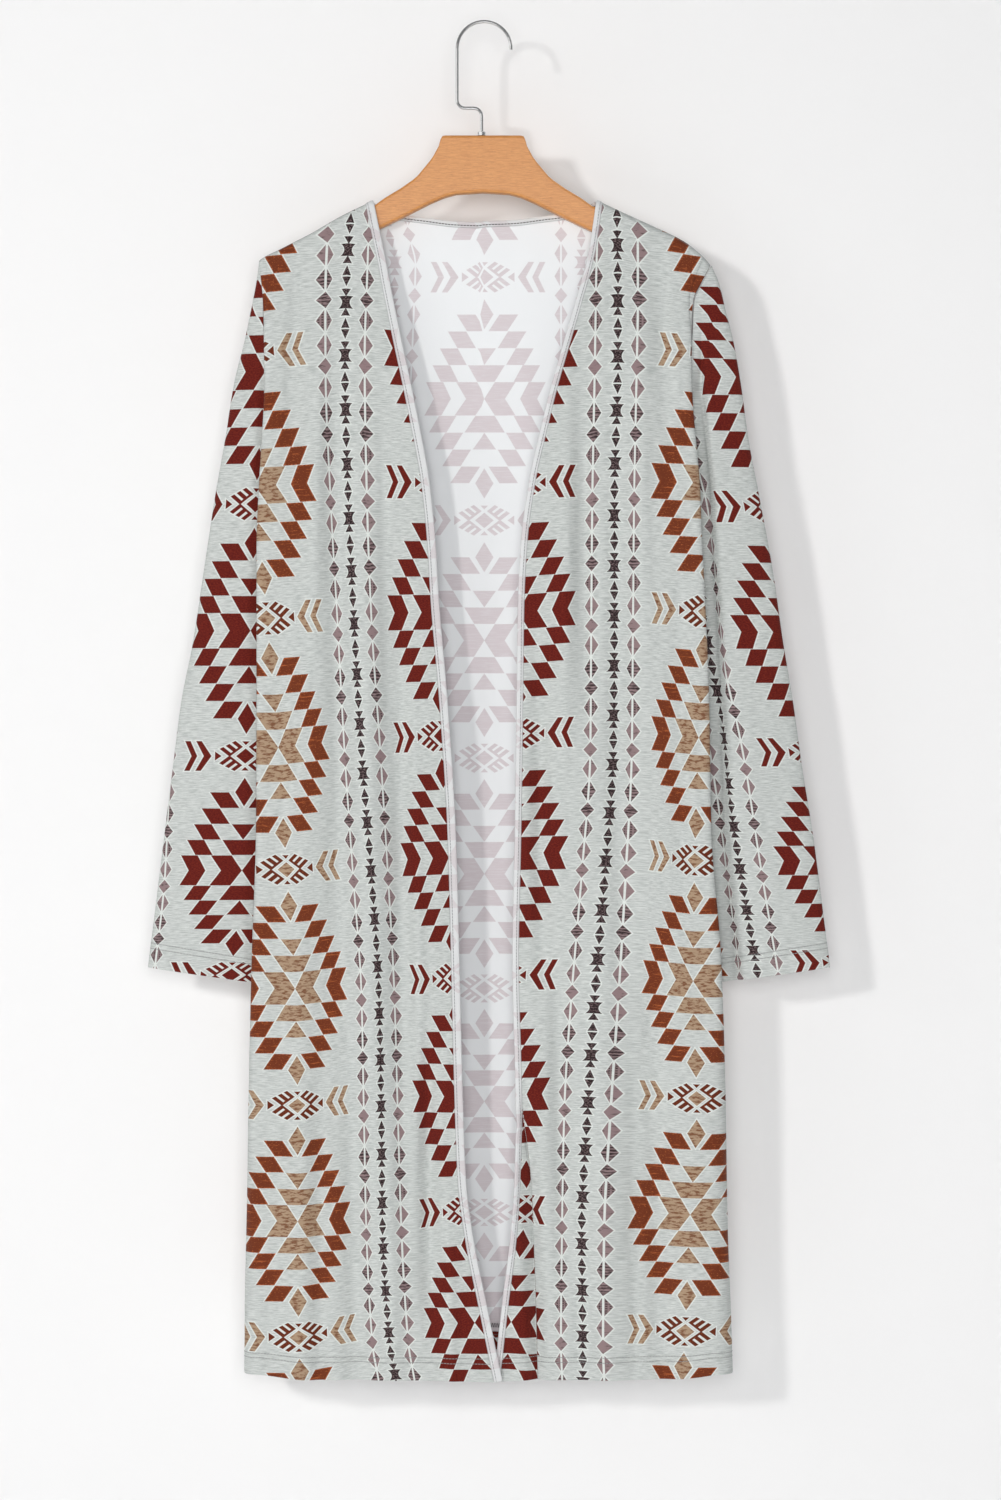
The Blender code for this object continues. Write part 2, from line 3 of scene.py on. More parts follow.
import bpy
import numpy as np
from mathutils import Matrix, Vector


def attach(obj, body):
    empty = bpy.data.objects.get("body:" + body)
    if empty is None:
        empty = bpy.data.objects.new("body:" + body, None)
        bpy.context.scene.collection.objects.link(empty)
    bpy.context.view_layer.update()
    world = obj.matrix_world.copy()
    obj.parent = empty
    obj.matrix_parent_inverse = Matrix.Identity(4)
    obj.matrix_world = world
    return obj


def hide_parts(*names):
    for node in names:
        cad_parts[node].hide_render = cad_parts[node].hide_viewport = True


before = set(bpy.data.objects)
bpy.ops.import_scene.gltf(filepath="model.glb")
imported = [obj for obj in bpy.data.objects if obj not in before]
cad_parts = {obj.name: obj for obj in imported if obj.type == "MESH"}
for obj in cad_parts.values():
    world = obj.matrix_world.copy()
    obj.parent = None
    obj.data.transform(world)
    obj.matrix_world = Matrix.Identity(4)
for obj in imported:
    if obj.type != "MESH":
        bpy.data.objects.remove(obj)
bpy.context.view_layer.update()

MM = 0.001
RIGHT, LEFT = -1, 1
FRONT, BACK = -1, 1

# Cloth, in millimetres
CLOTH_THICK = 0.8
HEM_EXTRA = 1.0
HEM_DEEP = 21.0
HEM_STEP, HEM_ROUND = 1.5, 1.6
SEAM_LAP = 0.5
SEAM_FLAT = 0.3
BAND_THICK = 2.3
BAND_LAP = 0.2

# Places on the body, as in the part
TIP = {RIGHT: 196.0, LEFT: 199.5}
NECK_X = 97.5
NECK_HEIGHT = 148.0
UNDERARM_DROP = 210.0
BODY_TOP = 198.0
HEM_DROP = 916.0
FRONT_BAND = {RIGHT: 7.2, LEFT: 5.6}
BACK_BAND = 5.2
SPREAD_DROP = 140.0

# The body from the front, by height: side edges, and where each front ends at its band. The
# openings between 196 and 380 lie up to 5 mm off the part's, on the photo's line.
BODY = {
    "height": (148, 196, 213, 230, 257, 300, 345, 380, 430, 480, 555, 665, 770, 890, 952,
               1000, 1050, 1117),
    "right_edge": (-187, -185, -183, -181.5, -180.5, -180, -182, -184, -186, -186, -186,
                   -186.5, -190, -193, -194, -195, -196, -196.5),
    "right_opening": (-97.5, -87, -84, -80.5, -75, -66, -57.5, -51.5, -46.5, -43.5, -37, -30,
                      -27, -24, -21.5, -15.5, -5.5, 9),
    "left_opening": (97.5, 86.5, 82, 77.5, 70, 59, 49.5, 42, 35.5, 33, 32, 30.5, 28.5, 31, 29.5,
                     26.5, 20.5, 12.5),
    "left_edge": (190, 187, 179, 171.5, 170, 170.5, 173.5, 176.5, 178.5, 181, 184, 186, 194,
                  198, 199, 200, 202, 204),
}

# The shoulder seam, from the neck out to the sleeve
SHOULDER = {
    "out": (97.5, 118, 142, 157, 168, 181, 187),
    "right_height": (148.5, 158.5, 172.3, 180, 185.7, 192, 196.5),
    "left_height": (148.5, 158, 169, 176, 182.5, 193.5, 200.5),
}

# The back neck edge: back over the hanger from each shoulder seam, then along the back
NECK = {
    "out": (0, 25, 49, 67, 78, 85, 89.8, 93.2, 96, 97.5),
    "height": (167, 166, 163, 160.8, 158.8, 156.2, 153.4, 150.8, 148.9, 148),
    "depth": (9.2, 9.2, 9.2, 9.2, 9.2, 9.2, 8.8, 7.4, 4.4, 0.15),
}

# How far a panel stands from the middle plane, by its drop below the shoulder seam
DEPTH = {
    "drop": (0, 0.6, 2.8, 8, 24, 60, 110, 210, 360, 600, 918),
    "front": (0.15, 4.0, 7.4, 8.4, 9.6, 13, 17, 20.5, 22, 23, 24),
    "back": (0.15, 4.0, 7.4, 8.4, 9.6, 13, 16.6, 19.8, 20.6, 21, 22),
}

# A front's free edge lies back by a share of its depth, and low down the left one by more
FREE_FROM, FREE_OVER, EDGE_BACK = 40.0, 200.0, 0.22
LOW_FROM, LOW_OVER, LOW_BACK = 700.0, 200.0, 3.5
DIP_TALL = 70.0

# The side of a panel: how far it is tucked in, its fold's rounding, the fold's share of the
# depth, and half the armhole's width
SIDE = {
    "drop": (0, 0.6, 2.8, 8, 24, 60, 110, 160, 190, 203, 210, 250, 360, 460, 560, 620, 690,
             760, 918),
    "tuck": (-6, -6, -5.8, -5.5, -4, 0.5, 12, 32, 45, 50, 52, 57, 58, 52, 36, 20, 7, 1, 0.5),
    "round": (3, 3, 3, 3, 3.5, 5, 5, 5, 5, 5, 5, 5, 5, 5, 6, 8, 11, 14, 14),
    "fold": (1, 0.97, 0.95, 0.92, 0.88, 0.82, 0.82, 0.84, 0.85, 0.85, 0.85, 0.86, 0.86, 0.84,
             0.78, 0.68, 0.55, 0.46, 0.45),
    "armhole": (0.15, 2.2, 4.3, 5.4, 6.4, 8.6, 11.6, 11.8, 9.2, 5.4, 0.15, 0.15, 0.15, 0.15,
                0.15, 0.15, 0.15, 0.15, 0.15),
}
SLOPE = {"drop": (0, 24, 60, 110, 160, 918), "share": (1, 1, 0.75, 0.3, 0, 0)}
FRONT_HEM = {"across": (0, 0.3, 0.8, 1), "dip": (3, 1, 0, -4)}
BACK_HEM = {"across": (0, 0.5, 1), "dip": (-18, -12, -3)}

# Folds: x at the top and bottom, top and bottom height, half width, and rise. The first ones
# run as the part's own, FOLD_DEPTH times as deep; the rest are the finer creases. They fade
# out toward a panel's side.
FOLD_DEPTH = 2.4
FOLD_FADE = 5.0
FOLD_COLUMNS = ("x_top", "x_bottom", "top", "bottom", "width", "rise")
FOLDS = {
    "front_right": (
        (-122, -117, 270, 820, 11, -3.2),
        (-98, -92, 330, 1180, 13, 2.6),
        (-71, -64, 400, 1020, 9, -2.6),
        (-106, -101, 790, 1220, 12, -3.4),
        (-47, -44, 820, 1080, 8, -3.6),
        (-152, -150, 600, 1220, 15, 2.4),
        (-150, -166, 190, 420, 9, -1.5),
        (-132, -141, 205, 520, 7, 1.1),
        (-84, -79, 300, 640, 6, -0.9),
        (-170, -166, 420, 900, 7, -1.2),
        (-58, -52, 560, 900, 5, 0.9),
        (-136, -134, 860, 1220, 7, -1.3),
        (-78, -70, 900, 1220, 7, 1.2),
        (-30, -24, 940, 1220, 6, 1.1),
        (-178, -176, 930, 1220, 6, -1.0),
    ),
    "front_left": (
        (81, 85, 270, 600, 10, -3.0),
        (108, 113, 300, 800, 11, -3.0),
        (45, 48, 500, 800, 8, -2.8),
        (60, 66, 760, 1040, 9, -3.0),
        (138, 147, 760, 1220, 13, -3.2),
        (95, 100, 700, 1220, 13, 2.4),
        (35, 47, 870, 1200, 7, -3.6),
        (142, 158, 190, 400, 9, -1.4),
        (128, 132, 215, 560, 7, 1.1),
        (70, 64, 330, 640, 6, 0.9),
        (160, 163, 420, 760, 7, -1.2),
        (122, 125, 820, 1220, 7, -1.3),
        (78, 82, 930, 1220, 7, -1.0),
        (176, 182, 800, 1220, 8, 1.3),
    ),
    "back": (
        (-120, -128, 300, 1220, 16, -3.2),
        (-62, -58, 420, 1220, 18, 3.0),
        (8, 4, 330, 1000, 20, 2.6),
        (66, 74, 500, 1220, 17, -3.2),
        (124, 130, 300, 1220, 16, 3.0),
        (-150, -158, 240, 620, 9, 1.3),
        (-92, -96, 520, 980, 8, -1.2),
        (-30, -34, 640, 1220, 9, -1.3),
        (38, 36, 280, 820, 9, -1.1),
        (98, 100, 760, 1220, 9, 1.2),
        (156, 160, 420, 900, 8, -1.2),
    ),
}

# A sleeve from the front, and how far its inner edge lies behind the body's edge
SLEEVE = {
    "height": (190, 197, 212, 238, 262, 296, 343, 388, 454, 510, 558, 612, 668, 725, 780),
    "right_outer": (-184, -185, -187, -192, -197, -205.5, -213, -221, -231, -239.5, -249,
                    -256, -263, -270, -277),
    "left_outer": (184, 186, 192.5, 199, 205, 211, 217.5, 226, 238, 246, 254, 261.5, 270.5,
                   278, 285),
}
TUCKED = {
    "height": (406, 411, 425, 500, 560, 650, 720, 800),
    "depth": (52, 44, 43, 44, 43, 38, 29, 18),
}
CUFF_OUTER, CUFF_INNER = 778.0, 793.0

# The share of a sleeve that keeps something of the armhole's form, and how round its tube is
SEAM_SHARE, SLEEVE_ROUND = 0.25, 0.45

# The valley in a sleeve's front beside the body's edge: how deep, and how far out it goes at
# the shoulder and at the cuff; how far in it begins and its inner wall, its outer wall at the
# shoulder and at the cuff, and where along the sleeve it sets in
TROUGH = {RIGHT: (2.5, 1.5, 1.5), LEFT: (13.0, 8.0, 12.0)}
TROUGH_HIDDEN, TROUGH_INNER, TROUGH_OUTER = 12.0, 8.0, (3.0, 8.0)
TROUGH_FROM, TROUGH_OVER = 0.01, 0.08
SLEEVE_DEPTH = {"along": (0, 0.12, 0.3, 0.6, 1), "half": (9.5, 9.6, 10.2, 10.4, 9.0)}

# Sleeve folds: start, end, line across (0 outer to 1 inner), half width, rise
SLEEVE_FOLDS = {
    RIGHT: (
        (0.30, 0.55, 0.62, 0.10, -1.8),
        (0.62, 0.92, 0.35, 0.12, 1.5),
        (0.05, 0.40, 0.28, 0.07, 0.9),
        (0.45, 0.80, 0.48, 0.06, -0.9),
        (0.78, 1.10, 0.66, 0.07, -0.9),
    ),
    LEFT: (
        (0.28, 0.60, 0.60, 0.10, -1.8),
        (0.55, 0.95, 0.38, 0.12, 1.5),
        (0.04, 0.36, 0.32, 0.07, 0.9),
        (0.40, 0.76, 0.22, 0.06, -0.8),
        (0.74, 1.10, 0.58, 0.08, -1.0),
    ),
}


def follow(xs, ys, at):
    """Reads the smooth line through the points (xs, ys) at `at`; it never overshoots."""
    xs, ys = np.asarray(xs, float), np.asarray(ys, float)
    at = np.clip(np.asarray(at, float), xs[0], xs[-1])
    step = np.diff(xs)
    slope = np.diff(ys) / step
    before, after = slope[:-1], slope[1:]
    agree = before * after > 0
    middle = np.where(agree, 2 * before * after / np.where(agree, before + after, 1), 0)
    tangent = np.concatenate((slope[:1], middle, slope[-1:]))
    i = np.clip(np.searchsorted(xs, at) - 1, 0, len(step) - 1)
    t = (at - xs[i]) / step[i]
    return (
        ys[i] * (1 + 2 * t) * (1 - t) ** 2
        + ys[i + 1] * t * t * (3 - 2 * t)
        + step[i] * (tangent[i] * t * (1 - t) ** 2 - tangent[i + 1] * t * t * (1 - t))
    )


def ease(t):
    """0 to 1, with a soft start and end."""
    t = np.clip(t, 0.0, 1.0)
    return t * t * (3 - 2 * t)


def side_name(side):
    return "right" if side == RIGHT else "left"


def read(table, name, at):
    """A table's column at a value of its first column."""
    return float(follow(next(iter(table.values())), table[name], at))


def body_line(side, line, height):
    return read(BODY, f"{side_name(side)}_{line}", height)


def level(side, drop):
    """The height of a row's outer end."""
    share = min(drop / UNDERARM_DROP, 1.0)
    return drop + TIP[side] + (BODY_TOP - TIP[side]) * share


def near_hem(drop):
    """0 above the hem's dip, and 1 at the hem's edge."""
    return ease((drop - HEM_DROP + DIP_TALL) / DIP_TALL)


def shoulder(side, out):
    return follow(SHOULDER["out"], SHOULDER[f"{side_name(side)}_height"], out)


def fold_rise(panel, x, height):
    """How far the panel's folds and creases move it out, for an array of x."""
    rise = np.zeros_like(x)
    for row in FOLDS[panel]:
        fold = dict(zip(FOLD_COLUMNS, row))
        along = (height - fold["top"]) / (fold["bottom"] - fold["top"])
        if 0 < along < 1:
            line = fold["x_top"] + (fold["x_bottom"] - fold["x_top"]) * along
            swell = math.sin(math.pi * along) ** 0.7
            rise += FOLD_DEPTH * fold["rise"] * swell * np.exp(-(((x - line) / fold["width"]) ** 2))
    return rise


def side_section(side, drop, depth, rounds, tucks):
    """The fold and the tucked part of a row, as x and depth arrays from the fold's start."""
    height = level(side, drop)
    tuck = read(SIDE, "tuck", drop)
    apex_x = body_line(side, "edge", height) + side * min(tuck, 0.0)
    apex = depth * read(SIDE, "fold", drop)
    end = read(SIDE, "armhole", drop)
    wide = read(SIDE, "round", drop)
    turn = math.pi / 2 * np.arange(1, rounds + 1) / rounds
    xs = [apex_x - side * wide * (1 - np.sin(turn))]
    ys = [apex + (depth - apex) * np.cos(turn)]
    t = np.arange(1, tucks + 1) / tucks
    weights = ((1 - t) ** 3, 3 * t * (1 - t) ** 2, 3 * t * t * (1 - t), t**3)
    steer = (apex, max(0.72 * apex, end + 0.4 * (apex - end)), end + 0.75 * (apex - end), end)
    xs.append(apex_x - side * tuck * (weights[2] + weights[3]))
    ys.append(sum(w * s for w, s in zip(weights, steer)))
    return apex_x - side * wide, np.concatenate(xs), np.concatenate(ys)


def front_row(side, drop, steps=(84, 6, 18)):
    """One row of a front panel, from its opening out to the armhole or side seam."""
    across, rounds, tucks = steps
    panel = f"front_{side_name(side)}"
    height = level(side, drop)
    slope = read(SLOPE, "share", drop)
    depth = read(DEPTH, "front", drop)
    free = ease((drop - FREE_FROM) / FREE_OVER)
    opening = body_line(side, "opening", height + slope * (NECK_HEIGHT - TIP[side]))
    start, tail_x, tail_y = side_section(side, drop, depth, rounds, tucks)
    c = np.arange(across + 1) / across
    x = opening + (start - opening) * c * (0.6 + 0.4 * c)
    if side == LEFT:
        edge = max(read(LAPPED, "out", height), opening + 2.5)
        t = np.arange(LAP_COLUMNS) / (LAP_COLUMNS - 1)
        under = opening + (edge - 0.1 - opening) * (1 - (1 - t) ** 2)
        t = np.arange(across + 1 - LAP_COLUMNS) / (across - LAP_COLUMNS)
        over = edge + 0.1 + (start - edge - 0.1) * t**1.2
        x = np.concatenate((under, over))
    c = (x - opening) / (start - opening)
    y = depth * (1 - EDGE_BACK * free * (1 - c) ** 2)
    if side == LEFT:
        y -= LOW_BACK * ease((drop - LOW_FROM) / LOW_OVER) * (1 - c) ** 2
        deep = LAPPED_DEEP * ease((height - LAPPED["height"][0] + 10) / 40)
        step_down = ease((edge - x + 0.3) / 0.8)
        groove = np.exp(-(((x - edge + 1.2) / 0.9) ** 2))
        y -= deep * (step_down + groove)
    y += fold_rise(panel, x, height) * np.minimum(1.0, FOLD_FADE * (1 - c))
    x, y = np.concatenate((x, tail_x)), np.concatenate((y, tail_y))
    c = np.concatenate((c, np.ones(len(tail_x))))
    drawn = slope * (shoulder(side, abs(x)) - shoulder(side, abs(x[-1])))
    dip = near_hem(drop) * follow(FRONT_HEM["across"], FRONT_HEM["dip"], c)
    return np.stack((x, FRONT * y, -(height + drawn + dip)), axis=1)


def back_row(drop, steps=(45, 26, 6, 16)):
    """One row of the back panel, from the right side seam to the left one."""
    inner, outer, rounds, tucks = steps
    slope = read(SLOPE, "share", drop)
    depth = read(DEPTH, "back", drop)
    halves = {}
    for side in (RIGHT, LEFT):
        height = level(side, drop)
        start, tail_x, tail_y = side_section(side, drop, depth, rounds, tucks)
        reach = abs(start) - NECK_X
        even = ease(drop / SPREAD_DROP)
        places = np.linspace(0, len(NECK["out"]) - 1, inner + 1)
        near = np.interp(places, range(len(NECK["out"])), NECK["out"])
        near += even * (NECK_X * np.arange(inner + 1) / inner - near)
        out = np.concatenate((near, NECK_X + reach * np.arange(1, outer + 1) / outer))
        c = out / abs(start)
        y = depth + fold_rise("back", side * out, height) * np.minimum(1.0, FOLD_FADE * (1 - c))
        x = np.concatenate((side * out, tail_x))
        y = np.concatenate((y, tail_y))
        c = np.concatenate((c, np.ones(len(tail_x))))
        away = abs(x)
        neck = away < NECK_X
        top = shoulder(side, away)
        top = np.where(neck, follow(NECK["out"], NECK["height"], away), top)
        y = np.where(neck, np.maximum(y, follow(NECK["out"], NECK["depth"], away)), y)
        dip = near_hem(drop) * follow(BACK_HEM["across"], BACK_HEM["dip"], c)
        z = -(height + slope * (top - shoulder(side, away[-1])) + dip)
        halves[side] = np.stack((x, BACK * y, z), axis=1)
    return np.concatenate((halves[RIGHT][:0:-1], halves[LEFT]))


def armhole(side, drops):
    """The sleeve's seam in front, from the shoulder to the underarm."""
    loop = []
    for drop in drops:
        tuck = read(SIDE, "tuck", drop)
        height = level(side, drop)
        x = body_line(side, "edge", height) + side * min(tuck, 0.0) - side * tuck
        loop.append((x, -read(SIDE, "armhole", drop), -height))
    loop = np.array(loop)
    run = np.gradient(loop[:, 1:], axis=0)
    run[0], run[-1] = (-1, 0), (1, 0)
    run /= np.linalg.norm(run, axis=1, keepdims=True)
    seam = loop.copy()
    seam[:, 1] -= SEAM_LAP * run[:, 1]
    seam[:, 2] += SEAM_LAP * run[:, 0]
    seam[0, 1] = seam[-1, 1] = 0.0
    return seam


def sleeve_ring(side, along, seam):
    """One ring of a sleeve, from its outer edge down the front and up the back."""
    top = TIP[side] + SEAM_LAP + (CUFF_OUTER - TIP[side] - SEAM_LAP) * along**1.1
    under = level(side, UNDERARM_DROP) - SEAM_LAP
    foot = under + (CUFF_INNER - under) * along**1.5
    outer_x = read(SLEEVE, f"{side_name(side)}_outer", top)
    depth = read(SLEEVE_DEPTH, "half", along)
    inner_x = body_line(side, "edge", foot)
    inner_x -= side * read(TUCKED, "depth", foot)
    seamed = max(0.0, 1 - along / SEAM_SHARE) ** 2
    first, last = seam[0], seam[-1]
    s = (first[2] - seam[:, 2]) / (first[2] - last[2])
    x = outer_x + (inner_x - outer_x) * s
    z = -(top + (foot - top) * s)
    y = -depth * np.maximum(4 * s * (1 - s), 0.0) ** SLEEVE_ROUND
    for start, end, line, width, rise in SLEEVE_FOLDS[side]:
        if start < along < end:
            swell = math.sin(math.pi * (along - start) / (end - start))
            y -= rise * swell * np.exp(-(((s - line) / width) ** 2)) * np.sin(math.pi * s)
    straight = first + (last - first) * s[:, None]
    x += seamed * (seam[:, 0] - straight[:, 0])
    z += seamed * (seam[:, 2] - straight[:, 2])
    half = np.stack((x, y * (1 - seamed) + seam[:, 1] * seamed, z), axis=1)
    back = half[-2:0:-1] * (1, -1, 1)
    deep, wide_top, wide_low = TROUGH[side]
    wide = wide_top + (wide_low - wide_top) * along
    edges = np.array([body_line(side, "edge", -height) for height in z])
    beyond = side * (x - edges)
    soft = TROUGH_OUTER[0] + (TROUGH_OUTER[1] - TROUGH_OUTER[0]) * along
    trough = ease((beyond + TROUGH_HIDDEN) / TROUGH_INNER) * (1 - ease((beyond - wide) / soft))
    trough *= ease((along - TROUGH_FROM) / TROUGH_OVER) * (1 - seamed)
    half[:, 1] += deep * trough * np.minimum(1.0, abs(half[:, 1]) / SLEEVE_DEPTH["half"][-1])
    return np.concatenate((half, back))


# The print's repeat, in millimetres of flat cloth: two medallion columns with bead columns
# between them. In the chart p runs across from the rust column's middle, q down the cloth.
COLUMN = 81.0
REPEAT_P = 4 * COLUMN
REPEAT_Q = 200.0

# Lines of the print down a front, as p, and where each runs: how far out from the middle at
# each height. The tips are the medallions' points, the beads the two side columns.
PRINT_P = (-162.0, -110.0, -98.2, -81.0, -63.8, -52.0, 0.0)
PRINT_HEIGHT = (173, 228, 284, 394, 497, 601, 700, 796, 894, 990, 1084, 1113)
PRINT_OUT = {
    RIGHT: {
        "red": (30, 31, 32, 34, 37, 35, 28, 24, 19, 14, 6, 2),
        "red_tip": (82, 83, 83, 81, 80, 74, 68, 61, 59, 53, 49, 44),
        "far_bead": (94, 96, 98, 96, 92, 85, 79, 74, 71, 68, 62, 57),
        "star": (109, 113, 114, 111, 106, 100, 92, 86, 84, 83, 77, 72),
        "near_bead": (128, 130, 130, 126, 120, 114, 107, 100, 98, 96, 91, 86),
        "rust_tip": (148, 148, 144, 136, 131, 126, 117, 111, 110, 108, 103, 100),
        "rust": (198, 198, 195, 186, 177, 168, 161, 154, 152, 152, 151, 150),
    },
    LEFT: {
        "red": (29, 27, 25, 27, 28, 26, 20, 9, 8, 5, 4, 4),
        "red_tip": (80, 79, 78, 76, 76, 74, 68, 60, 54, 51, 51, 52),
        "far_bead": (94, 92, 91, 89, 88, 87, 80, 72, 66, 64, 63, 64),
        "star": (109, 110, 110, 107, 107, 106, 99, 91, 85, 80, 81, 81),
        "near_bead": (126, 126, 125, 123, 122, 121, 116, 110, 103, 98, 97, 98),
        "rust_tip": (145, 144, 141, 135, 136, 136, 134, 128, 125, 116, 116, 116),
        "rust": (196, 195, 193, 188, 181, 175, 172, 171, 174, 168, 164, 162),
    },
}

# The heights of the red column's middles, of the star column's sides and of the rust column's
# middles, and the repeats down the cloth there, as the first one and the step
PRINT_DOWN = {
    RIGHT: (
        (273, 486, 687, 883, 1068),
        (174, 283, 395, 503, 605, 705, 802, 897, 995, 1081),
        (164, 383, 597, 794, 984),
    ),
    LEFT: (
        (273, 486, 684, 882, 1068),
        (169, 284, 393, 496, 598, 697, 797, 894, 991, 1086),
        (166, 381, 589, 788, 979),
    ),
}
PRINT_STEPS = ((0.0, 1.0), (-0.425, 0.5), (-0.5, 1.0))

# The overlap low on the left front: its folded edge, and the red column's middle under it
LAPPED = {
    "height": (893, 918, 963, 1005, 1034, 1113),
    "out": (30.5, 35.1, 39.7, 41.3, 42.4, 44.5),
}
LAPPED_RED = {"height": (892, 938, 967, 998, 1066, 1113), "out": (32, 34.4, 34.7, 31.2, 22.5, 17.2)}
LAPPED_SCALE = 1.1
LAPPED_DEEP = 1.4
LAP_COLUMNS = 16

# The repeats down the back, half repeats down a sleeve, and how far out a sleeve's red column
# runs at each height. Within EDGE_TURN of a sleeve's edge it is followed straight on.
BACK_DOWN = (308, 508, 702, 891, 1074)
EDGE_TURN = 18.0
SLEEVE_DOWN = {
    RIGHT: (288, 397, 501, 604, 698, 784),
    LEFT: (292, 399, 502, 601, 690, 774),
}
SLEEVE_RED = {
    RIGHT: ((288, 397, 501, 604, 698, 784), (180, 188, 192, 196, 199, 208)),
    LEFT: ((214, 236, 253, 273, 292, 317, 361, 399, 502, 601, 690, 774),
           (204, 213, 216, 221, 225, 227, 230, 239, 255, 276, 290, 304)),
}


def carry_on(xs, ys, at):
    """Reads a table like follow, and carries on straight past its two ends."""
    low = (ys[1] - ys[0]) / (xs[1] - xs[0])
    high = (ys[-1] - ys[-2]) / (xs[-1] - xs[-2])
    return (
        follow(xs, ys, at)
        + low * np.minimum(np.asarray(at, float) - xs[0], 0)
        + high * np.maximum(np.asarray(at, float) - xs[-1], 0)
    )


def down_cloth(marks, first, step, at):
    """Millimetres down the printed cloth at heights, from the heights of its marks."""
    return REPEAT_Q * carry_on(marks, first + step * np.arange(len(marks)), at)


def lengths_along(row):
    """The length along a row of points, from its first one."""
    steps = np.linalg.norm(np.diff(row, axis=0), axis=1)
    return np.concatenate(([0.0], np.cumsum(steps)))


def front_cut(side, rows):
    """Where each point of a front lies on the printed cloth, as p and q."""
    lines, phases = PRINT_OUT[side], PRINT_DOWN[side]
    cut = []
    for row in rows:
        heights = -row[:, 2]
        middle = float(heights.mean())
        reach = side * row[:, 0]
        folded = int(np.argmax(reach))
        run = lengths_along(row)
        reach[folded:] = reach[folded] + run[folded:] - run[folded]
        places = np.array([float(follow(PRINT_HEIGHT, line, middle)) for line in lines.values()])
        p = np.interp(reach, places, PRINT_P)
        p += np.minimum(reach - places[0], 0) + np.maximum(reach - places[-1], 0)
        if side == LEFT and middle > LAPPED["height"][0]:
            red = read(LAPPED_RED, "out", middle)
            under = reach < read(LAPPED, "out", middle)
            p = np.where(under, PRINT_P[0] + (reach - red) * LAPPED_SCALE, p)
        down = [down_cloth(marks, *steps, heights) for marks, steps in zip(phases, PRINT_STEPS)]
        share = np.clip(p / COLUMN + 2, 0, 2)
        q = down[0] + (down[1] - down[0]) * np.minimum(share, 1)
        q += (down[2] - down[1]) * np.maximum(share - 1, 0)
        cut.append(np.stack((p, q), axis=1))
    return np.array(cut)


def back_cut(rows):
    """Where each point of the back lies on the printed cloth: a red column is its middle."""
    cut = []
    for row in rows:
        run = lengths_along(row)
        run -= run[int(np.argmin(abs(row[:, 0])))]
        q = down_cloth(BACK_DOWN, 0, 1, -row[:, 2])
        cut.append(np.stack((2 * COLUMN + run, q), axis=1))
    return np.array(cut)


def sleeve_cut(side, rings):
    """The printed cloth rolled round a sleeve, from its hidden inner edge and back to it."""
    cut = []
    for ring in rings:
        flat = ring * (1, 1, 0)
        run = lengths_along(flat)
        heights = -ring[:, 2]
        front = len(ring) // 2
        out = side * flat[: front + 1, 0]
        red = carry_on(*SLEEVE_RED[side], heights)
        near = np.minimum(red, out[-1] - EDGE_TURN)
        at_red = np.interp(near, out, run[: front + 1]) + red - near
        q = down_cloth(SLEEVE_DOWN[side], 0, 0.5, heights)
        cut.append(np.stack((2 * COLUMN + run - at_red, q), axis=1))
    return np.array(cut)


def grid_normals(grid, wraps):
    """Unit normals of a grid of points, on the side that faces out of the garment."""
    along = np.gradient(grid, axis=0)
    if wraps:
        across = (np.roll(grid, -1, axis=1) - np.roll(grid, 1, axis=1)) / 2
    else:
        across = np.gradient(grid, axis=1)
    normals = np.cross(across, along)
    return normals / np.maximum(np.linalg.norm(normals, axis=2, keepdims=True), 1e-9)


def put(name, data):
    made = bpy.data.objects.new(name, data)
    bpy.context.scene.collection.objects.link(made)
    return made


def add_mesh(name, points, faces, looks, which=None, cut=None):
    """A smooth-shaded object from points in millimetres, with the cloth's cut as a field."""
    mesh = bpy.data.meshes.new(name)
    mesh.from_pydata((np.asarray(points) * MM).tolist(), [], faces)
    for look in looks:
        mesh.materials.append(look)
    if which is not None:
        mesh.polygons.foreach_set("material_index", which)
    if cut is not None:
        field = mesh.attributes.new("cut", "FLOAT_VECTOR", "POINT")
        field.data.foreach_set("vector", (np.asarray(cut) * MM).ravel())
    mesh.shade_smooth()
    return put(name, mesh)


def rim_faces(count, width, flip):
    """Quads of both layers of a grid and the rim between them, and each quad's material."""
    i, j = np.meshgrid(np.arange(count - 1), np.arange(width - 1), indexing="ij")
    a = (i * width + j).ravel()
    quads = np.stack((a, a + 1, a + width + 1, a + width), axis=1)
    if flip:
        quads = quads[:, ::-1]
    size = count * width
    top = np.arange(width - 1)
    low = (count - 1) * width + top
    left = np.arange(count - 1) * width
    right = left + width - 1
    rims = (
        np.stack((top + 1, top, size + top, size + top + 1), axis=1),
        np.stack((low, low + 1, size + low + 1, size + low), axis=1),
        np.stack((left, left + width, size + left + width, size + left), axis=1),
        np.stack((right + width, right, size + right, size + right + width), axis=1),
    )
    rims = np.concatenate([rim[:, ::-1] if flip else rim for rim in rims])
    faces = np.concatenate((quads, quads[:, ::-1] + size, rims))
    which = np.zeros(len(faces), np.int32)
    which[len(quads):2 * len(quads)] = 1
    return faces.tolist(), which


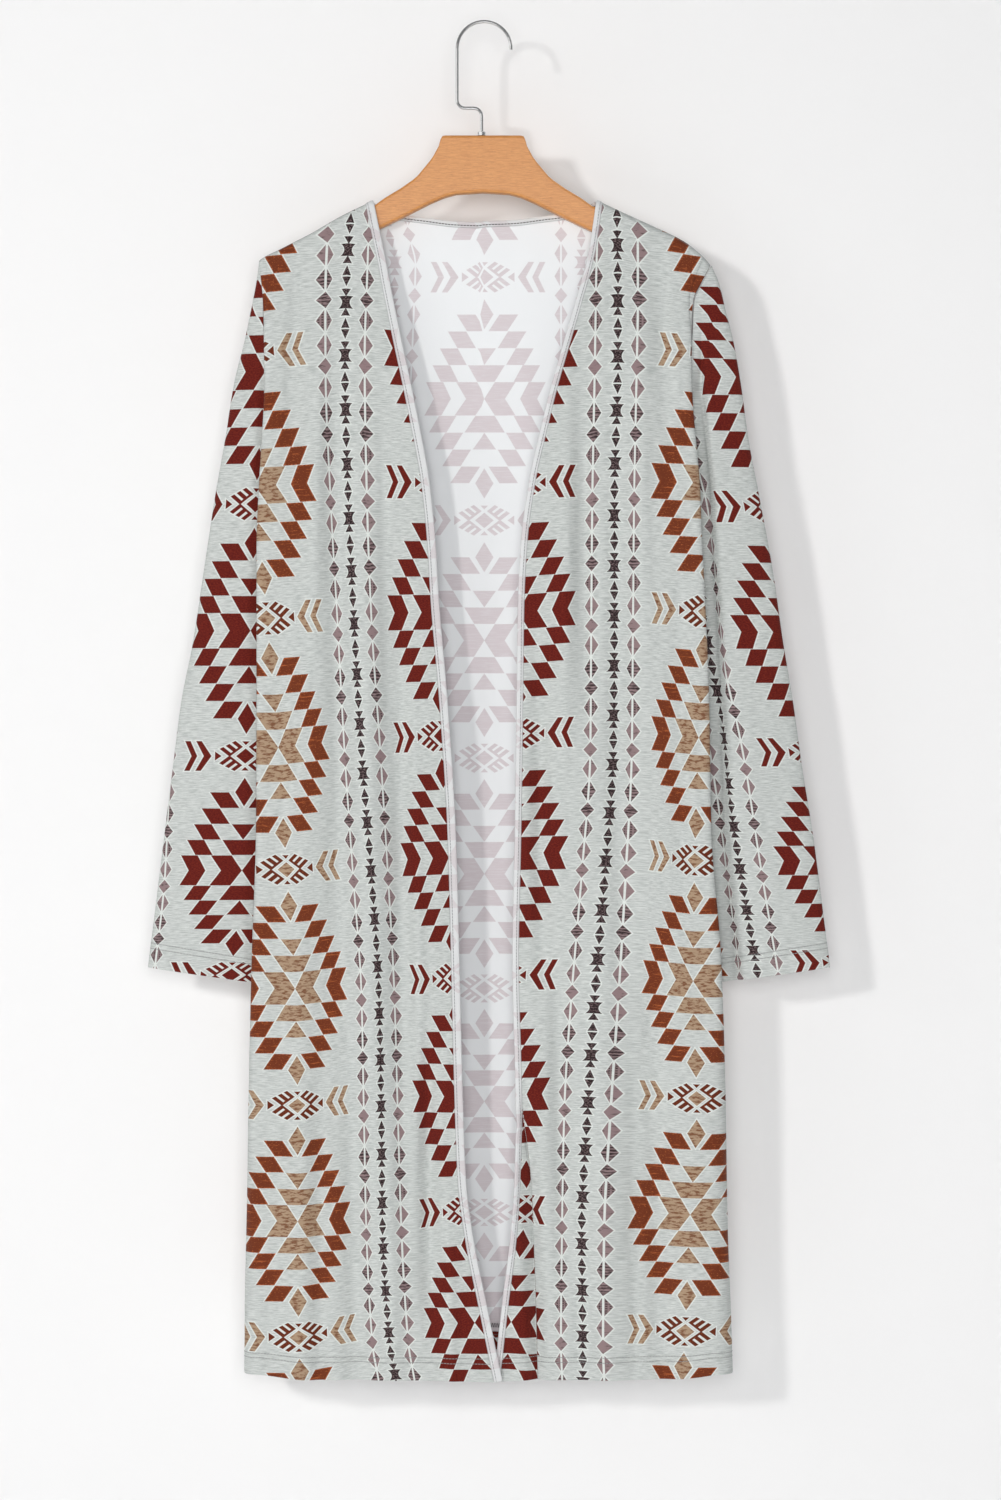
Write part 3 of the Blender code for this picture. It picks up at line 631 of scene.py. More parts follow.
def add_cloth(name, grid, normals, flip, cut, looks, hem):
    """A closed thin shell round a grid of middle points; its last rows are a turned hem.

    `hem` is each row's distance above the hem's edge.
    """
    extra = HEM_EXTRA * ease((HEM_DEEP + 1.0 - hem) / HEM_STEP)
    rounded = np.sqrt(np.clip(1 - (1 - hem / HEM_ROUND).clip(0, 1) ** 2, 0, 1))
    outside = grid + normals * (CLOTH_THICK / 2 * rounded)[:, None, None]
    inside = grid - normals * ((CLOTH_THICK / 2 + extra) * rounded)[:, None, None]
    points = np.concatenate((outside.reshape(-1, 3), inside.reshape(-1, 3)))
    faces, which = rim_faces(*grid.shape[:2], flip)
    turned = np.repeat(hem[:-1] < HEM_DEEP, grid.shape[1] - 1)
    which[len(turned):2 * len(turned)][turned] = 0
    edge = np.broadcast_to(hem[:, None, None], cut.shape[:2] + (1,))
    field = np.concatenate((cut, edge), axis=2).reshape(-1, 3)
    made = add_mesh(name, points, faces, looks, which, np.concatenate((field, field)))
    return made, outside


def tube_faces(count, sides, first=0):
    """The faces of a closed tube of rings, whose points are numbered from `first`."""
    last = first + (count - 1) * sides
    faces = [tuple(range(first, first + sides))[::-1], tuple(range(last, last + sides))]
    for ring in range(first, last, sides):
        for j in range(sides):
            a, b = ring + j, ring + (j + 1) % sides
            faces.append((a, b, b + sides, a + sides))
    return faces


def add_strip(name, centres, across, out, half_wide, half_thick, look, cut=None):
    """A band with rounded edges along its centre points."""
    turn = np.pi / 16 + np.arange(16) * np.pi / 8
    wide = half_wide * np.sign(np.cos(turn)) * abs(np.cos(turn)) ** 0.45
    thick = half_thick * np.sign(np.sin(turn)) * abs(np.sin(turn)) ** 0.8
    points = (
        centres[:, None]
        + across[:, None] * wide[None, :, None]
        + out[:, None] * thick[None, :, None]
    )
    count, sides = points.shape[:2]
    field = None
    if cut is not None:
        field = np.zeros((count, sides, 3))
        field[..., 0] = cut[:, None, 0] + wide[None, :]
        field[..., 1] = cut[:, None, 1]
        field[..., 2] = half_wide + wide
        field = field.reshape(-1, 3)
    made = add_mesh(name, points.reshape(-1, 3), tube_faces(count, sides), [look], cut=field)
    face_out(made)
    return made


def face_out(made):
    """Turns a closed mesh's faces out where they face in."""
    total = 0.0
    for polygon in made.data.polygons:
        corners = [made.data.vertices[i].co for i in polygon.vertices]
        for b, c in zip(corners[1:], corners[2:]):
            total += corners[0].dot(b.cross(c))
    if total < 0:
        made.data.flip_normals()


def unit(vectors):
    return vectors / np.maximum(np.linalg.norm(vectors, axis=-1, keepdims=True), 1e-9)


def point_at(place, run, line):
    """The point of a line at a length from its start."""
    return np.array([np.interp(place, run, column) for column in line.T])


def lay_thread(points, faces, start, end, up, rings, sides, turned=0.0):
    """Adds a thread from start to end; each of its rings is a share along and a radius."""
    first = len(points)
    side = np.cross(unit(end - start), up)
    for share, radius in rings:
        centre = start + (end - start) * share
        for turn in range(sides):
            angle = 2 * math.pi * turn / sides + turned
            points.append(centre + (side * math.cos(angle) + up * math.sin(angle)) * radius)
    faces += tube_faces(len(rings), sides, first)


def add_stitches(name, lines, look, thick=0.45, pitch=2.6, share=0.78, lift=0.1):
    """One piece of many short threads along several lines, each a line and its normals."""
    points, faces = [], []
    rings = [(0.0, 0.175 * thick), (0.2, 0.5 * thick), (0.8, 0.5 * thick), (1.0, 0.175 * thick)]
    for line, normals in lines:
        run = lengths_along(line)
        for i in range(int(run[-1] / pitch)):
            begin = (i + 0.5 * (1 - share)) * pitch
            up = unit(point_at(begin, run, normals))
            ends = [point_at(at, run, line) + up * lift for at in (begin, begin + pitch * share)]
            lay_thread(points, faces, *ends, up, rings, THREAD_SIDES)
    made = add_mesh(name, points, faces, [look])
    face_out(made)
    return made


def between_rows(grid, levels, at):
    """The line across a grid at a level between its rows."""
    i = int(np.clip(np.searchsorted(levels, at) - 1, 0, len(levels) - 2))
    t = (at - levels[i]) / (levels[i + 1] - levels[i])
    return grid[i] * (1 - t) + grid[i + 1] * t


def panel_drops():
    """Rows down a panel: close at the shoulder seam and at the hem's edge."""
    top = [0, 0.3, 0.6, 1.2, 2, 2.8, 4, 5.6, 8, 11, 15, 20, 25]
    pitch = 4.5
    middle = list(np.arange(25 + pitch, HEM_DROP - 3, pitch))
    middle = sorted(set(middle) | {203.0, 206.5, 209.0, 210.0})
    return np.array(top + middle + [HEM_DROP - 1.6, HEM_DROP - 0.8, HEM_DROP - 0.25, HEM_DROP])


def sleeve_drops():
    """Where the rings' lines start on the armhole: close at the shoulder and the underarm."""
    marks = (0, 0.3, 0.8, 1.8, 3.5, 6, 9.5, 14, 20, 27, 35, 44, 54, 65, 77, 90, 103, 116,
             129, 141, 152, 162, 171, 179, 186, 192, 197, 201, 204.2, 206.6, 208.4, 209.4, 210)
    places = np.arange(2 * len(marks) - 1) / 2
    return np.interp(places, np.arange(len(marks)), marks)


# Where a hem's stitches run, and a front's, in millimetres, and the shoulder seam's line; painted
# shade lines follow the hem's rows, the shoulder seam and the band's lines
HEM_ROWS = (14.5, 18.5)
SHOULDER_SHADE_LINE = HEM_DROP - 0.9
OVERLOCK = (22.5, 28.5)
ZIGZAG_STEP = 0.75
THREAD_SIDES = 5
BAND_STITCH = 2.0
# painted shade lines on the binding: one at its edge against the cloth, one along its stitches
BAND_SHADE_LINES = (0.3, BAND_STITCH)


def facing(grid, wraps, way):
    """A grid's normals turned to the garment's outside, and whether they had to be."""
    normals = grid_normals(grid, wraps)
    flip = float((normals * way).sum()) < 0
    return (-normals if flip else normals), flip


def seam_normals(grid, normals):
    """At the seams between front and back, which lie at y = 0, normals stay in that plane."""
    flat = np.abs(grid[..., 1]) < SEAM_FLAT
    normals[flat, 1] = 0.0
    return unit(normals)


def ride(made, slot, *nodes):
    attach(made, "root")
    if nodes:
        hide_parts(*nodes)
    return made


def build_cloth(name, grid, normals, flip, cut, looks, hem, edge="hem"):
    """A cloth in place of a solid, and its hem's stitches; `hem` is as in add_cloth."""
    made, outside = add_cloth(f"{name}_cloth", grid, normals, flip, cut, looks, hem)
    ride(made, "cloth", name)
    layers = (outside, normals)
    rows = [[between_rows(layer, -hem, -up) for layer in layers] for up in HEM_ROWS]
    return made, ride(add_stitches(f"{name}_{edge}_stitches", rows, looks[2]), "cloth")


def build_front(side, looks):
    name = f"front_{side_name(side)}"
    drops = panel_drops()
    grid = np.array([front_row(side, drop) for drop in drops])
    normals, flip = facing(grid, False, np.array((0, -1, 0)))
    normals = seam_normals(grid, normals)
    cut = front_cut(side, grid)
    made, stitches = build_cloth(name, grid, normals, flip, cut, looks, HEM_DROP - drops)
    band, band_stitches = build_front_band(side, grid, cut, looks)
    return made, [stitches, band, band_stitches]


def build_front_band(side, grid, cut, looks):
    """The turned edge beside a front's opening, and the row of stitches along it."""
    wide = FRONT_BAND[side]
    edge, beside = grid[:, 0], grid[:, 3]
    tangent = np.gradient(edge, axis=0)
    way = edge - beside
    top = abs(edge[:, 1]) < SEAM_FLAT
    tangent[top] = (0.0, -1.0, 0.0)
    way[top] = (-side * 1.0, 0.0, 0.0)
    tangent = unit(tangent)
    way = unit(way - tangent * (way * tangent).sum(axis=1, keepdims=True))
    out = unit(np.cross(tangent, way))
    out *= np.where(out @ (0.0, -1.0, 0.3) < 0, -1.0, 1.0)[:, None]
    centres = edge + way * (wide / 2 - BAND_LAP)
    name = f"neck_band_{side_name(side)}"
    field = cut[:, 0] + (wide / 2, 0)
    band = add_strip(f"{name}_edge", centres, way, out, wide / 2, BAND_THICK / 2, looks[4], field)
    ride(band, "binding", name)
    line = edge + way * BAND_STITCH + out * (BAND_THICK / 2 * 0.82)
    row = add_stitches(f"{name}_stitches", [(line[4:-2], out[4:-2])], looks[5])
    ride(row, "binding")
    return band, row


def build_back(looks):
    drops = panel_drops()
    grid = np.array([back_row(drop) for drop in drops])
    normals, flip = facing(grid, False, np.array((0, 1, 0)))
    normals = seam_normals(grid, normals)
    cut = back_cut(grid)
    made, stitches = build_cloth("back", grid, normals, flip, cut, looks, HEM_DROP - drops)
    inside = grid - normals * (CLOTH_THICK / 2)
    overlock = build_overlock(inside, -normals, drops, looks[3])
    top = abs(grid[0, :, 0]) <= NECK_X + 0.01
    edge, field = grid[0, top], cut[0, top]
    tilt = math.pi / 2 * ease(edge[:, 1] / max(NECK["depth"]))
    out = np.stack((tilt * 0, np.sin(tilt), np.cos(tilt)), axis=1)
    tangent = unit(np.gradient(edge, axis=0))
    way = unit(np.cross(tangent, out))
    way *= np.where((way[:, 2] - way[:, 1]) > 0, 1.0, -1.0)[:, None]
    centres = edge + way * (BACK_BAND / 2)
    band = add_strip(
        "neck_band_back_edge", centres, way, out, BACK_BAND / 2, BAND_THICK / 2, looks[4], field
    )
    ride(band, "binding", "neck_band_back")
    line = edge + way * BAND_STITCH - out * (BAND_THICK / 2 + 0.1)
    row = add_stitches("neck_band_back_stitches", [(line[6:-6], -out[6:-6])], looks[3], thick=0.7)
    ride(row, "binding")
    return made, [stitches, overlock, band, row]


def build_overlock(inside, normals, drops, look):
    """The dark zigzag over the raw edge of the back hem's turn, on the inside."""
    low = between_rows(inside, drops, HEM_DROP - OVERLOCK[0])
    high = between_rows(inside, drops, HEM_DROP - OVERLOCK[1])
    up = between_rows(normals, drops, HEM_DROP - OVERLOCK[0])
    run = lengths_along(low)
    zigzag, ways = [], []
    for i, place in enumerate(np.arange(2.0, run[-1] - 2.0, ZIGZAG_STEP)):
        ways.append(unit(point_at(place, run, up)))
        zigzag.append(point_at(place, run, low if i % 2 else high))
    points, faces = [], []
    for start, end, way in zip(zigzag, zigzag[1:], ways):
        lifted = (start + way * 0.25, end + way * 0.25)
        lay_thread(points, faces, *lifted, way, ((0, 0.22), (1, 0.22)), 3, math.pi / 2)
    made = add_mesh("back_hem_overlock", points, faces, [look])
    face_out(made)
    return ride(made, "cloth")


def build_sleeve(side, looks):
    name = f"sleeve_{side_name(side)}"
    seam = armhole(side, sleeve_drops())
    count = 140
    alongs = np.concatenate((np.linspace(0, 1, count)[:-1], (0.9975, 0.9987, 0.9996, 1.0)))
    rings = np.array([sleeve_ring(side, along, seam) for along in alongs])
    middle = rings.mean(axis=1, keepdims=True)
    normals, flip = facing(rings, True, rings - middle)
    inner = len(seam) - 1
    size = rings.shape[1]
    order = [(inner - i) % size for i in range(size + 1)]
    rings, normals = rings[:, order], normals[:, order]
    cut = sleeve_cut(side, rings)
    hem = (CUFF_OUTER - TIP[side]) * (1 - alongs)
    made, stitches = build_cloth(name, rings, normals, not flip, cut, looks, hem, "cuff")
    return made, [stitches]


FINISH = {
    "colour": "Base Color",
    "rough": "Roughness",
    "metal": "Metallic",
    "gloss": "Specular IOR Level",
    "sheen": "Sheen Weight",
    "sheen_rough": "Sheen Roughness",
    "coat": "Coat Weight",
    "coat_rough": "Coat Roughness",
}


class Graph:
    """A material's nodes, built from sums written as plain arithmetic."""

    def __init__(self, name):
        self.material = bpy.data.materials.new(name)
        self.material.use_nodes = True
        self.tree = self.material.node_tree
        self.shader = self.tree.nodes["Principled BSDF"]

    def node(self, kind, **settings):
        made = self.tree.nodes.new(kind)
        for key, value in settings.items():
            setattr(made, key, value)
        return made

    def feed(self, socket, value):
        if isinstance(value, Sum):
            self.tree.links.new(value.socket, socket)
        elif isinstance(value, bpy.types.NodeSocket):
            self.tree.links.new(value, socket)
        else:
            socket.default_value = value

    def finish(self, **values):
        """Sets plain values on the shader, by the names in FINISH."""
        for name, value in values.items():
            self.shader.inputs[FINISH[name]].default_value = value
        return self.material

    def math(self, operation, *values):
        made = self.node("ShaderNodeMath", operation=operation)
        for socket, value in zip(made.inputs, values):
            self.feed(socket, value)
        return Sum(self, made.outputs[0])

    def field(self, name):
        """A point field of the mesh, in millimetres, as its three parts."""
        made = self.node("ShaderNodeAttribute", attribute_name=name)
        apart = self.node("ShaderNodeSeparateXYZ")
        self.tree.links.new(made.outputs["Vector"], apart.inputs[0])
        return [Sum(self, out) * 1000.0 for out in apart.outputs]

    def vector(self, x, y, z=0.0):
        made = self.node("ShaderNodeCombineXYZ")
        for socket, value in zip(made.inputs, (x, y, z)):
            self.feed(socket, value)
        return made.outputs[0]

    def noise(self, vector, detail=2.0, roughness=0.5):
        """Noise of unit scale at a vector, from about 0.3 to 0.7."""
        made = self.node("ShaderNodeTexNoise")
        self.feed(made.inputs["Vector"], vector)
        made.inputs["Scale"].default_value = 1.0
        made.inputs["Detail"].default_value = detail
        made.inputs["Roughness"].default_value = roughness
        return Sum(self, made.outputs[0])

    def mix(self, share, first, second):
        made = self.node("ShaderNodeMix", data_type="RGBA")
        self.feed(made.inputs[0], share)
        for socket, colour in ((made.inputs[6], first), (made.inputs[7], second)):
            self.feed(socket, colour if not isinstance(colour, tuple) else (*colour, 1.0))
        return made.outputs[2]

    def inside(self, distance, soft=0.18):
        """1 where a distance is below nothing, with a soft edge."""
        made = self.node("ShaderNodeMapRange", clamp=True)
        self.feed(made.inputs[0], distance)
        for socket, value in zip(made.inputs[1:5], (-soft, soft, 1.0, 0.0)):
            socket.default_value = value
        return Sum(self, made.outputs[0])


class Sum:
    """A value in a material's nodes."""

    def __init__(self, graph, socket):
        self.graph, self.socket = graph, socket

    def away(self, repeat):
        """The distance from the nearest whole repeat."""
        return (self - (self / repeat + 0.5).floor() * repeat).abs()

    def cell(self, repeat):
        """The number of the nearest whole repeat."""
        return (self / repeat + 0.5).floor()

    def ramp(self, start, slope, top=1.0):
        """0 up to a start, and from there up by a slope, to a top at most."""
        return ((self - start) * slope).most(0.0).least(top)


def step(operation, swapped=False):
    """A Sum's method that adds a node for the operation."""
    def method(value, *others):
        values = (*others, value) if swapped else (value, *others)
        return value.graph.math(operation, *values)
    return method


Sum.__add__ = Sum.__radd__ = step("ADD")
Sum.__mul__ = Sum.__rmul__ = step("MULTIPLY")
Sum.__sub__ = step("SUBTRACT")
Sum.__rsub__ = step("SUBTRACT", swapped=True)
Sum.__truediv__ = step("DIVIDE")
Sum.abs, Sum.floor = step("ABSOLUTE"), step("FLOOR")
Sum.least, Sum.most = step("MINIMUM"), step("MAXIMUM")
Sum.over, Sum.under = step("GREATER_THAN"), step("LESS_THAN")


# Motifs. All sizes are millimetres of flat cloth; u is the distance across from a motif's
# middle line and v the distance up or down from its middle.
ROW = 12.3
MEDALLION_ROWS = 5
TIP_MIDDLE, TIP_TALL, TIP_WIDE = 61.5, 11.0, 6.45
MEDALLION_SIZE = (1.185, 1.13)
CHEVRON_SIZE = (1.18, 1.12)
BEAD_SIDE = 17.2
BEAD_PHASE, STAR_PHASE = 0.075, 0.039


def medallion(u, v):
    """Distances into the outer pieces and the middle pieces of a medallion."""
    u, v = u / MEDALLION_SIZE[0], v / MEDALLION_SIZE[1]
    row = (v / ROW).floor()
    t = v / ROW - row
    ends = ((t - 0.5).abs() - 0.5) * ROW + 0.12
    ends = ends - row.under(0.5) * t.under(0.5) * (ROW / 2)
    middle = 31.1 - row * 4.2 - row * row * 0.3 + t * (6.0 + row * 0.45)
    outer = ((u - middle).abs() - 5.95 - row * 0.15) * 0.88
    outer = outer.most(ends).most((row - MEDALLION_ROWS + 0.5) * ROW)
    first = (u - 7.25 - t * 7.5).abs() - 7.25
    second = u - 7.2 - t * 7.2
    third = u - t * 8.3
    inner = first * row.under(0.5) + second * row.over(0.5) * row.under(1.5)
    inner = inner + third * row.over(1.5) * row.under(2.5) + 9.0 * row.over(2.5)
    inner = (inner * 0.85).most(ends)
    tip = (u / TIP_WIDE + (v - TIP_MIDDLE).abs() / TIP_TALL - 1.0) * 5.56
    return outer, inner.least(tip)


def arrow(u, v):
    """Distances into an arrow motif's feathers and ends, and into its diamond and chevrons."""
    across, down = u / 1.12, v / 1.08
    diamond = (across / 6.9 + down / 5.9 - 1.0) * 4.5
    out = across * 0.62 + down * 0.784
    turn = down * 0.784 - across * 0.62
    tooth = (turn + 1.55).away(4.65) - 1.5
    comb = tooth.least(out - 8.6).most(6.8 - out).most(turn - 4.35).most(-7.6 - turn)
    feather = comb.most((down + across * 0.54 - 15.9) * 0.88)
    point = (17.4 - across).most(across - 22.4).most(down - (across - 17.4) * 0.72)
    crown = (8.3 - down).most(down - 11.3).most(across - (down - 8.3) * 0.93)
    u, v = u / CHEVRON_SIZE[0], v / CHEVRON_SIZE[1]
    inner = (23.6 + v * 0.667 - u).most(u - 29.2 - v * 0.523)
    outer = (33.8 + v * 0.468 - u).most(u - 38.0 - v * 0.45)
    chevrons = (inner.least(outer) * 0.85).most(v - 11.1)
    return feather.least(point).least(crown), diamond, chevrons


def beads(b, q):
    """Distances into the bead columns and the star column between them.

    The third value is the place down from the nearest small diamond, the last its number.
    """
    side = (b - BEAD_SIDE).abs()
    at = q - BEAD_PHASE * REPEAT_Q
    number = at.cell(REPEAT_Q / 4)
    place = at - number * (REPEAT_Q / 4)
    v = place.abs()
    bead = (side / 5.2 + v / 6.3 - 1.0) * 4.0
    split = (side / 5.4 + (v - 15.7).abs() / 9.3 - 1.0) * 4.7
    split = split.most(0.75 - side)
    star_v = (q - STAR_PHASE * REPEAT_Q).away(REPEAT_Q / 5)
    body = (b - 3.3 - star_v * star_v * 0.13).most(star_v - 4.8)
    near = (b - (star_v - 4.2) * 0.66).most(star_v - 10.3) * 0.87
    apart = REPEAT_Q / 10 - star_v
    far = (b - (8.1 - apart) * 0.49).most(0.5 - apart) * 0.9
    return bead.least(split), body.least(near).least(far), place, number


# Colours, as linear values
HEATHER = (0.600, 0.624, 0.607)
HEATHER_DARK = (0.375, 0.400, 0.390)
HALO = (0.720, 0.755, 0.725)
RUST = (0.145, 0.032, 0.012)
FEATHER = (0.115, 0.022, 0.009)
ORANGE = (0.460, 0.120, 0.035)
TAN = (0.375, 0.265, 0.175)
BROWN = (0.150, 0.050, 0.022)
RED = (0.165, 0.018, 0.009)
RED_DARK = (0.095, 0.008, 0.006)
MAUVE = (0.255, 0.180, 0.185)
INK = (0.024, 0.015, 0.016)
WRONG_SIDE = (0.790, 0.805, 0.818)
BAND_CLOTH = (0.660, 0.670, 0.675)
GHOST = (0.520, 0.415, 0.442)
# painted shade for the lines along seams and rows of stitches
SEAM_SHADE = (0.180, 0.185, 0.185)
BEECH = (0.500, 0.195, 0.048)
BEECH_PALE = (0.660, 0.295, 0.082)
BEECH_FLECK = (0.340, 0.120, 0.035)
THREADS = {
    "pale": (0.300, 0.310, 0.310),
    "dark": (0.045, 0.040, 0.042),
    "grey": (0.160, 0.165, 0.170),
}
WALL_PAINT = (0.850, 0.850, 0.852)
FLOOR_PAINT = (0.780, 0.780, 0.785)
HALO_WIDE = 0.75


def print_colour(g, p, q):
    """The printed side's colour at a place in the chart, and how much ink is there."""
    across = p.away(REPEAT_P)
    red = across.over(COLUMN)
    u = across + red * (2 * COLUMN - across * 2.0)
    rust_v = (q - REPEAT_Q / 2).away(REPEAT_Q)
    v = rust_v + red * (REPEAT_Q / 2 - rust_v * 2.0)
    ragged = (g.noise(g.vector(p * 0.9, q * 1.4), 2.0) - 0.5) * 0.35
    outer, inner = medallion(u, v)
    beyond = REPEAT_Q / 2 - v
    feather, diamond, chevrons = arrow(u, beyond)
    bead, star, place, number = beads((across - COLUMN).abs(), q)
    outer, inner = outer + ragged, inner + ragged
    small = feather.least(diamond).least(chevrons)
    every = outer.least(inner).least(small).least(bead).least(star)

    streak = g.noise(g.vector(p * 0.045, q * 0.62, 3.0), 3.0, 0.62)
    fleck = g.noise(g.vector(p * 0.55, q * 1.1, 8.0), 2.0, 0.6)
    slub = g.noise(g.vector(p * 0.12, q * 1.25, 1.0), 4.0, 0.7)
    blotch = g.noise(g.vector(p * 0.16, q * 0.5, 5.0), 3.0, 0.6)

    cloth = g.mix(slub.ramp(0.36, 4.2), HEATHER_DARK, HEATHER)
    colour = g.mix(g.inside(every - HALO_WIDE, 0.35) * 0.8, cloth, HALO)

    rim = ((outer + 1.2) * 1.1).most(0.0).least(1.0)
    speck = fleck.ramp(0.60, 14.0)
    band = streak.ramp(0.60, 12.0)
    glow = (rim * fleck.ramp(0.45, 6.0)).most(speck * 0.7).most(band * 0.8)
    rusty = g.mix(glow, RUST, ORANGE)
    redder = g.mix(fleck.ramp(0.4, 3.5), RED_DARK, RED)
    burnt = blotch.ramp(0.47, 8.0)
    sandy = g.mix(burnt * 0.85, TAN, BROWN)
    main = g.mix(red, rusty, redder)
    second = g.mix(red, sandy, redder)

    colour = g.mix(g.inside(outer), colour, main)
    colour = g.mix(g.inside(inner), colour, second)
    plumed = g.mix(red, g.mix(speck * 0.5, FEATHER, ORANGE), redder)
    colour = g.mix(g.inside(feather), colour, plumed)
    colour = g.mix(g.inside(diamond), colour, second)
    colour = g.mix(g.inside(chevrons), colour, second)

    marked = (number / 2 - (number / 2).floor()).over(0.25)
    dots = (p.away(2.3) - 0.6).most(q.away(2.0) - 0.55)
    stripes = (q + (blotch - 0.5) * 5.0).away(2.6) - 0.62
    below = place.over(7.3)
    marks = g.inside(stripes, 0.35) * (1.0 - below) + g.inside(dots, 0.35) * below
    marks = marks * marked * 0.9
    beaded = g.mix(marks, MAUVE, INK)
    beaded = g.mix(blotch.ramp(0.54, 6.0, 0.6), beaded, INK)
    colour = g.mix(g.inside(bead), colour, beaded)
    starry = g.mix(fleck.ramp(0.50, 6.0, 0.55), INK, MAUVE)
    colour = g.mix(g.inside(star), colour, starry)
    return colour, g.inside(every)


def knit_bump(g, p, q, strength):
    """The jersey's fine nap: short slubs across and a small even loop texture."""
    nap = g.noise(g.vector(p * 0.35, q * 2.2, 2.0), 3.0, 0.6)
    loops = g.noise(g.vector(p * 1.6, q * 1.6, 6.0), 1.0)
    bump = g.node("ShaderNodeBump")
    bump.inputs["Strength"].default_value = strength
    bump.inputs["Distance"].default_value = 0.0006
    g.feed(bump.inputs["Height"], nap * 0.7 + loops * 0.3)
    g.tree.links.new(bump.outputs[0], g.shader.inputs["Normal"])


def painted_seam_shade(g, colour, edge, rows):
    """The colour with a soft dark line of painted shade where each row of stitches pulls the cloth
    in.
    """
    for row in rows:
        line = ((edge - row).abs() * -1.4 + 1.0).most(0.0) * 0.42
        colour = g.mix(line, colour, SEAM_SHADE)
    return colour


def cloth_print():
    g = Graph("jersey_print")
    p, q, edge = g.field("cut")
    colour, _ = print_colour(g, p, q)
    # painted shade lines along the hem's stitch rows and the shoulder seam
    g.feed(g.shader.inputs["Base Color"], painted_seam_shade(g, colour, edge, (*HEM_ROWS, SHOULDER_SHADE_LINE)))
    knit_bump(g, p, q, 0.35)
    return g.finish(rough=0.82, sheen=0.06, sheen_rough=0.5, gloss=0.12)


def cloth_wrong_side(name, ground, ghost, rows):
    """The pale inside of the jersey, where the print shows through faintly, with painted shade
    lines along its rows.
    """
    g = Graph(name)
    p, q, edge = g.field("cut")
    _, ink = print_colour(g, p, q)
    slub = g.noise(g.vector(p * 0.07, q * 0.85, 1.0), 3.0, 0.65)
    share = ink * ghost * ((slub + 0.3) * 1.2).least(1.0)
    colour = g.mix(share, ground, GHOST)
    g.feed(g.shader.inputs["Base Color"], painted_seam_shade(g, colour, edge, rows))
    knit_bump(g, p, q, 0.25)
    return g.finish(rough=0.85, sheen=0.05, gloss=0.12)


def thread(name, colour):
    return Graph(name).finish(colour=(*colour, 1.0), rough=0.7)


def wood():
    """Beech: orange tan with fine grain flecks along it."""
    g = Graph("beech")
    place = g.node("ShaderNodeTexCoord")
    apart = g.node("ShaderNodeSeparateXYZ")
    g.tree.links.new(place.outputs["Object"], apart.inputs[0])
    x, y, z = [Sum(g, out) * 1000.0 for out in apart.outputs]
    wave = g.noise(g.vector(x * 0.012, y * 0.05, z * 0.11), 2.0)
    grain = g.noise(g.vector(x * 0.10, y * 0.7, z * 1.3 + wave * 4.0), 3.0, 0.65)
    fleck = g.noise(g.vector(x * 0.28, y * 0.9, z * 2.6), 2.0, 0.6)
    colour = g.mix(grain.ramp(0.35, 3.0), BEECH, BEECH_PALE)
    colour = g.mix(fleck.ramp(0.60, 9.0, 0.55), colour, BEECH_FLECK)
    g.feed(g.shader.inputs["Base Color"], colour)
    return g.finish(rough=0.42, coat=0.12, coat_rough=0.25)


def steel(name, tint=0.62):
    return Graph(name).finish(colour=(tint, tint, tint, 1.0), metal=1.0, rough=0.2)


def paper(name, colour, seen_through=False):
    """A plain matt surface; a wall is clear from behind."""
    g = Graph(name)
    g.finish(colour=(*colour, 1.0), rough=0.9, gloss=0.1)
    if seen_through:
        facing_way = g.node("ShaderNodeNewGeometry")
        clear = g.node("ShaderNodeBsdfTransparent")
        mixed = g.node("ShaderNodeMixShader")
        g.tree.links.new(facing_way.outputs["Backfacing"], mixed.inputs[0])
        g.tree.links.new(g.shader.outputs[0], mixed.inputs[1])
        g.tree.links.new(clear.outputs[0], mixed.inputs[2])
        g.tree.links.new(mixed.outputs[0], g.tree.nodes["Material Output"].inputs[0])
    return g.material


def plane(name, corners, look):
    mesh = bpy.data.meshes.new(name)
    mesh.from_pydata(corners, [], [(0, 1, 2, 3)])
    mesh.materials.append(look)
    made = put(name, mesh)
    return made


def area_light(name, place, size, power, colour):
    data = bpy.data.lights.new(name, "AREA")
    data.shape = "DISK"
    data.size = size
    data.energy = power
    data.color = colour
    made = put(name, data)
    made.location = place
    way = [b - a for a, b in zip(place, LIT_PLACE)]
    made.rotation_mode = "QUATERNION"
    made.rotation_quaternion = Vector(way).to_track_quat("-Z", "Y")
    return made


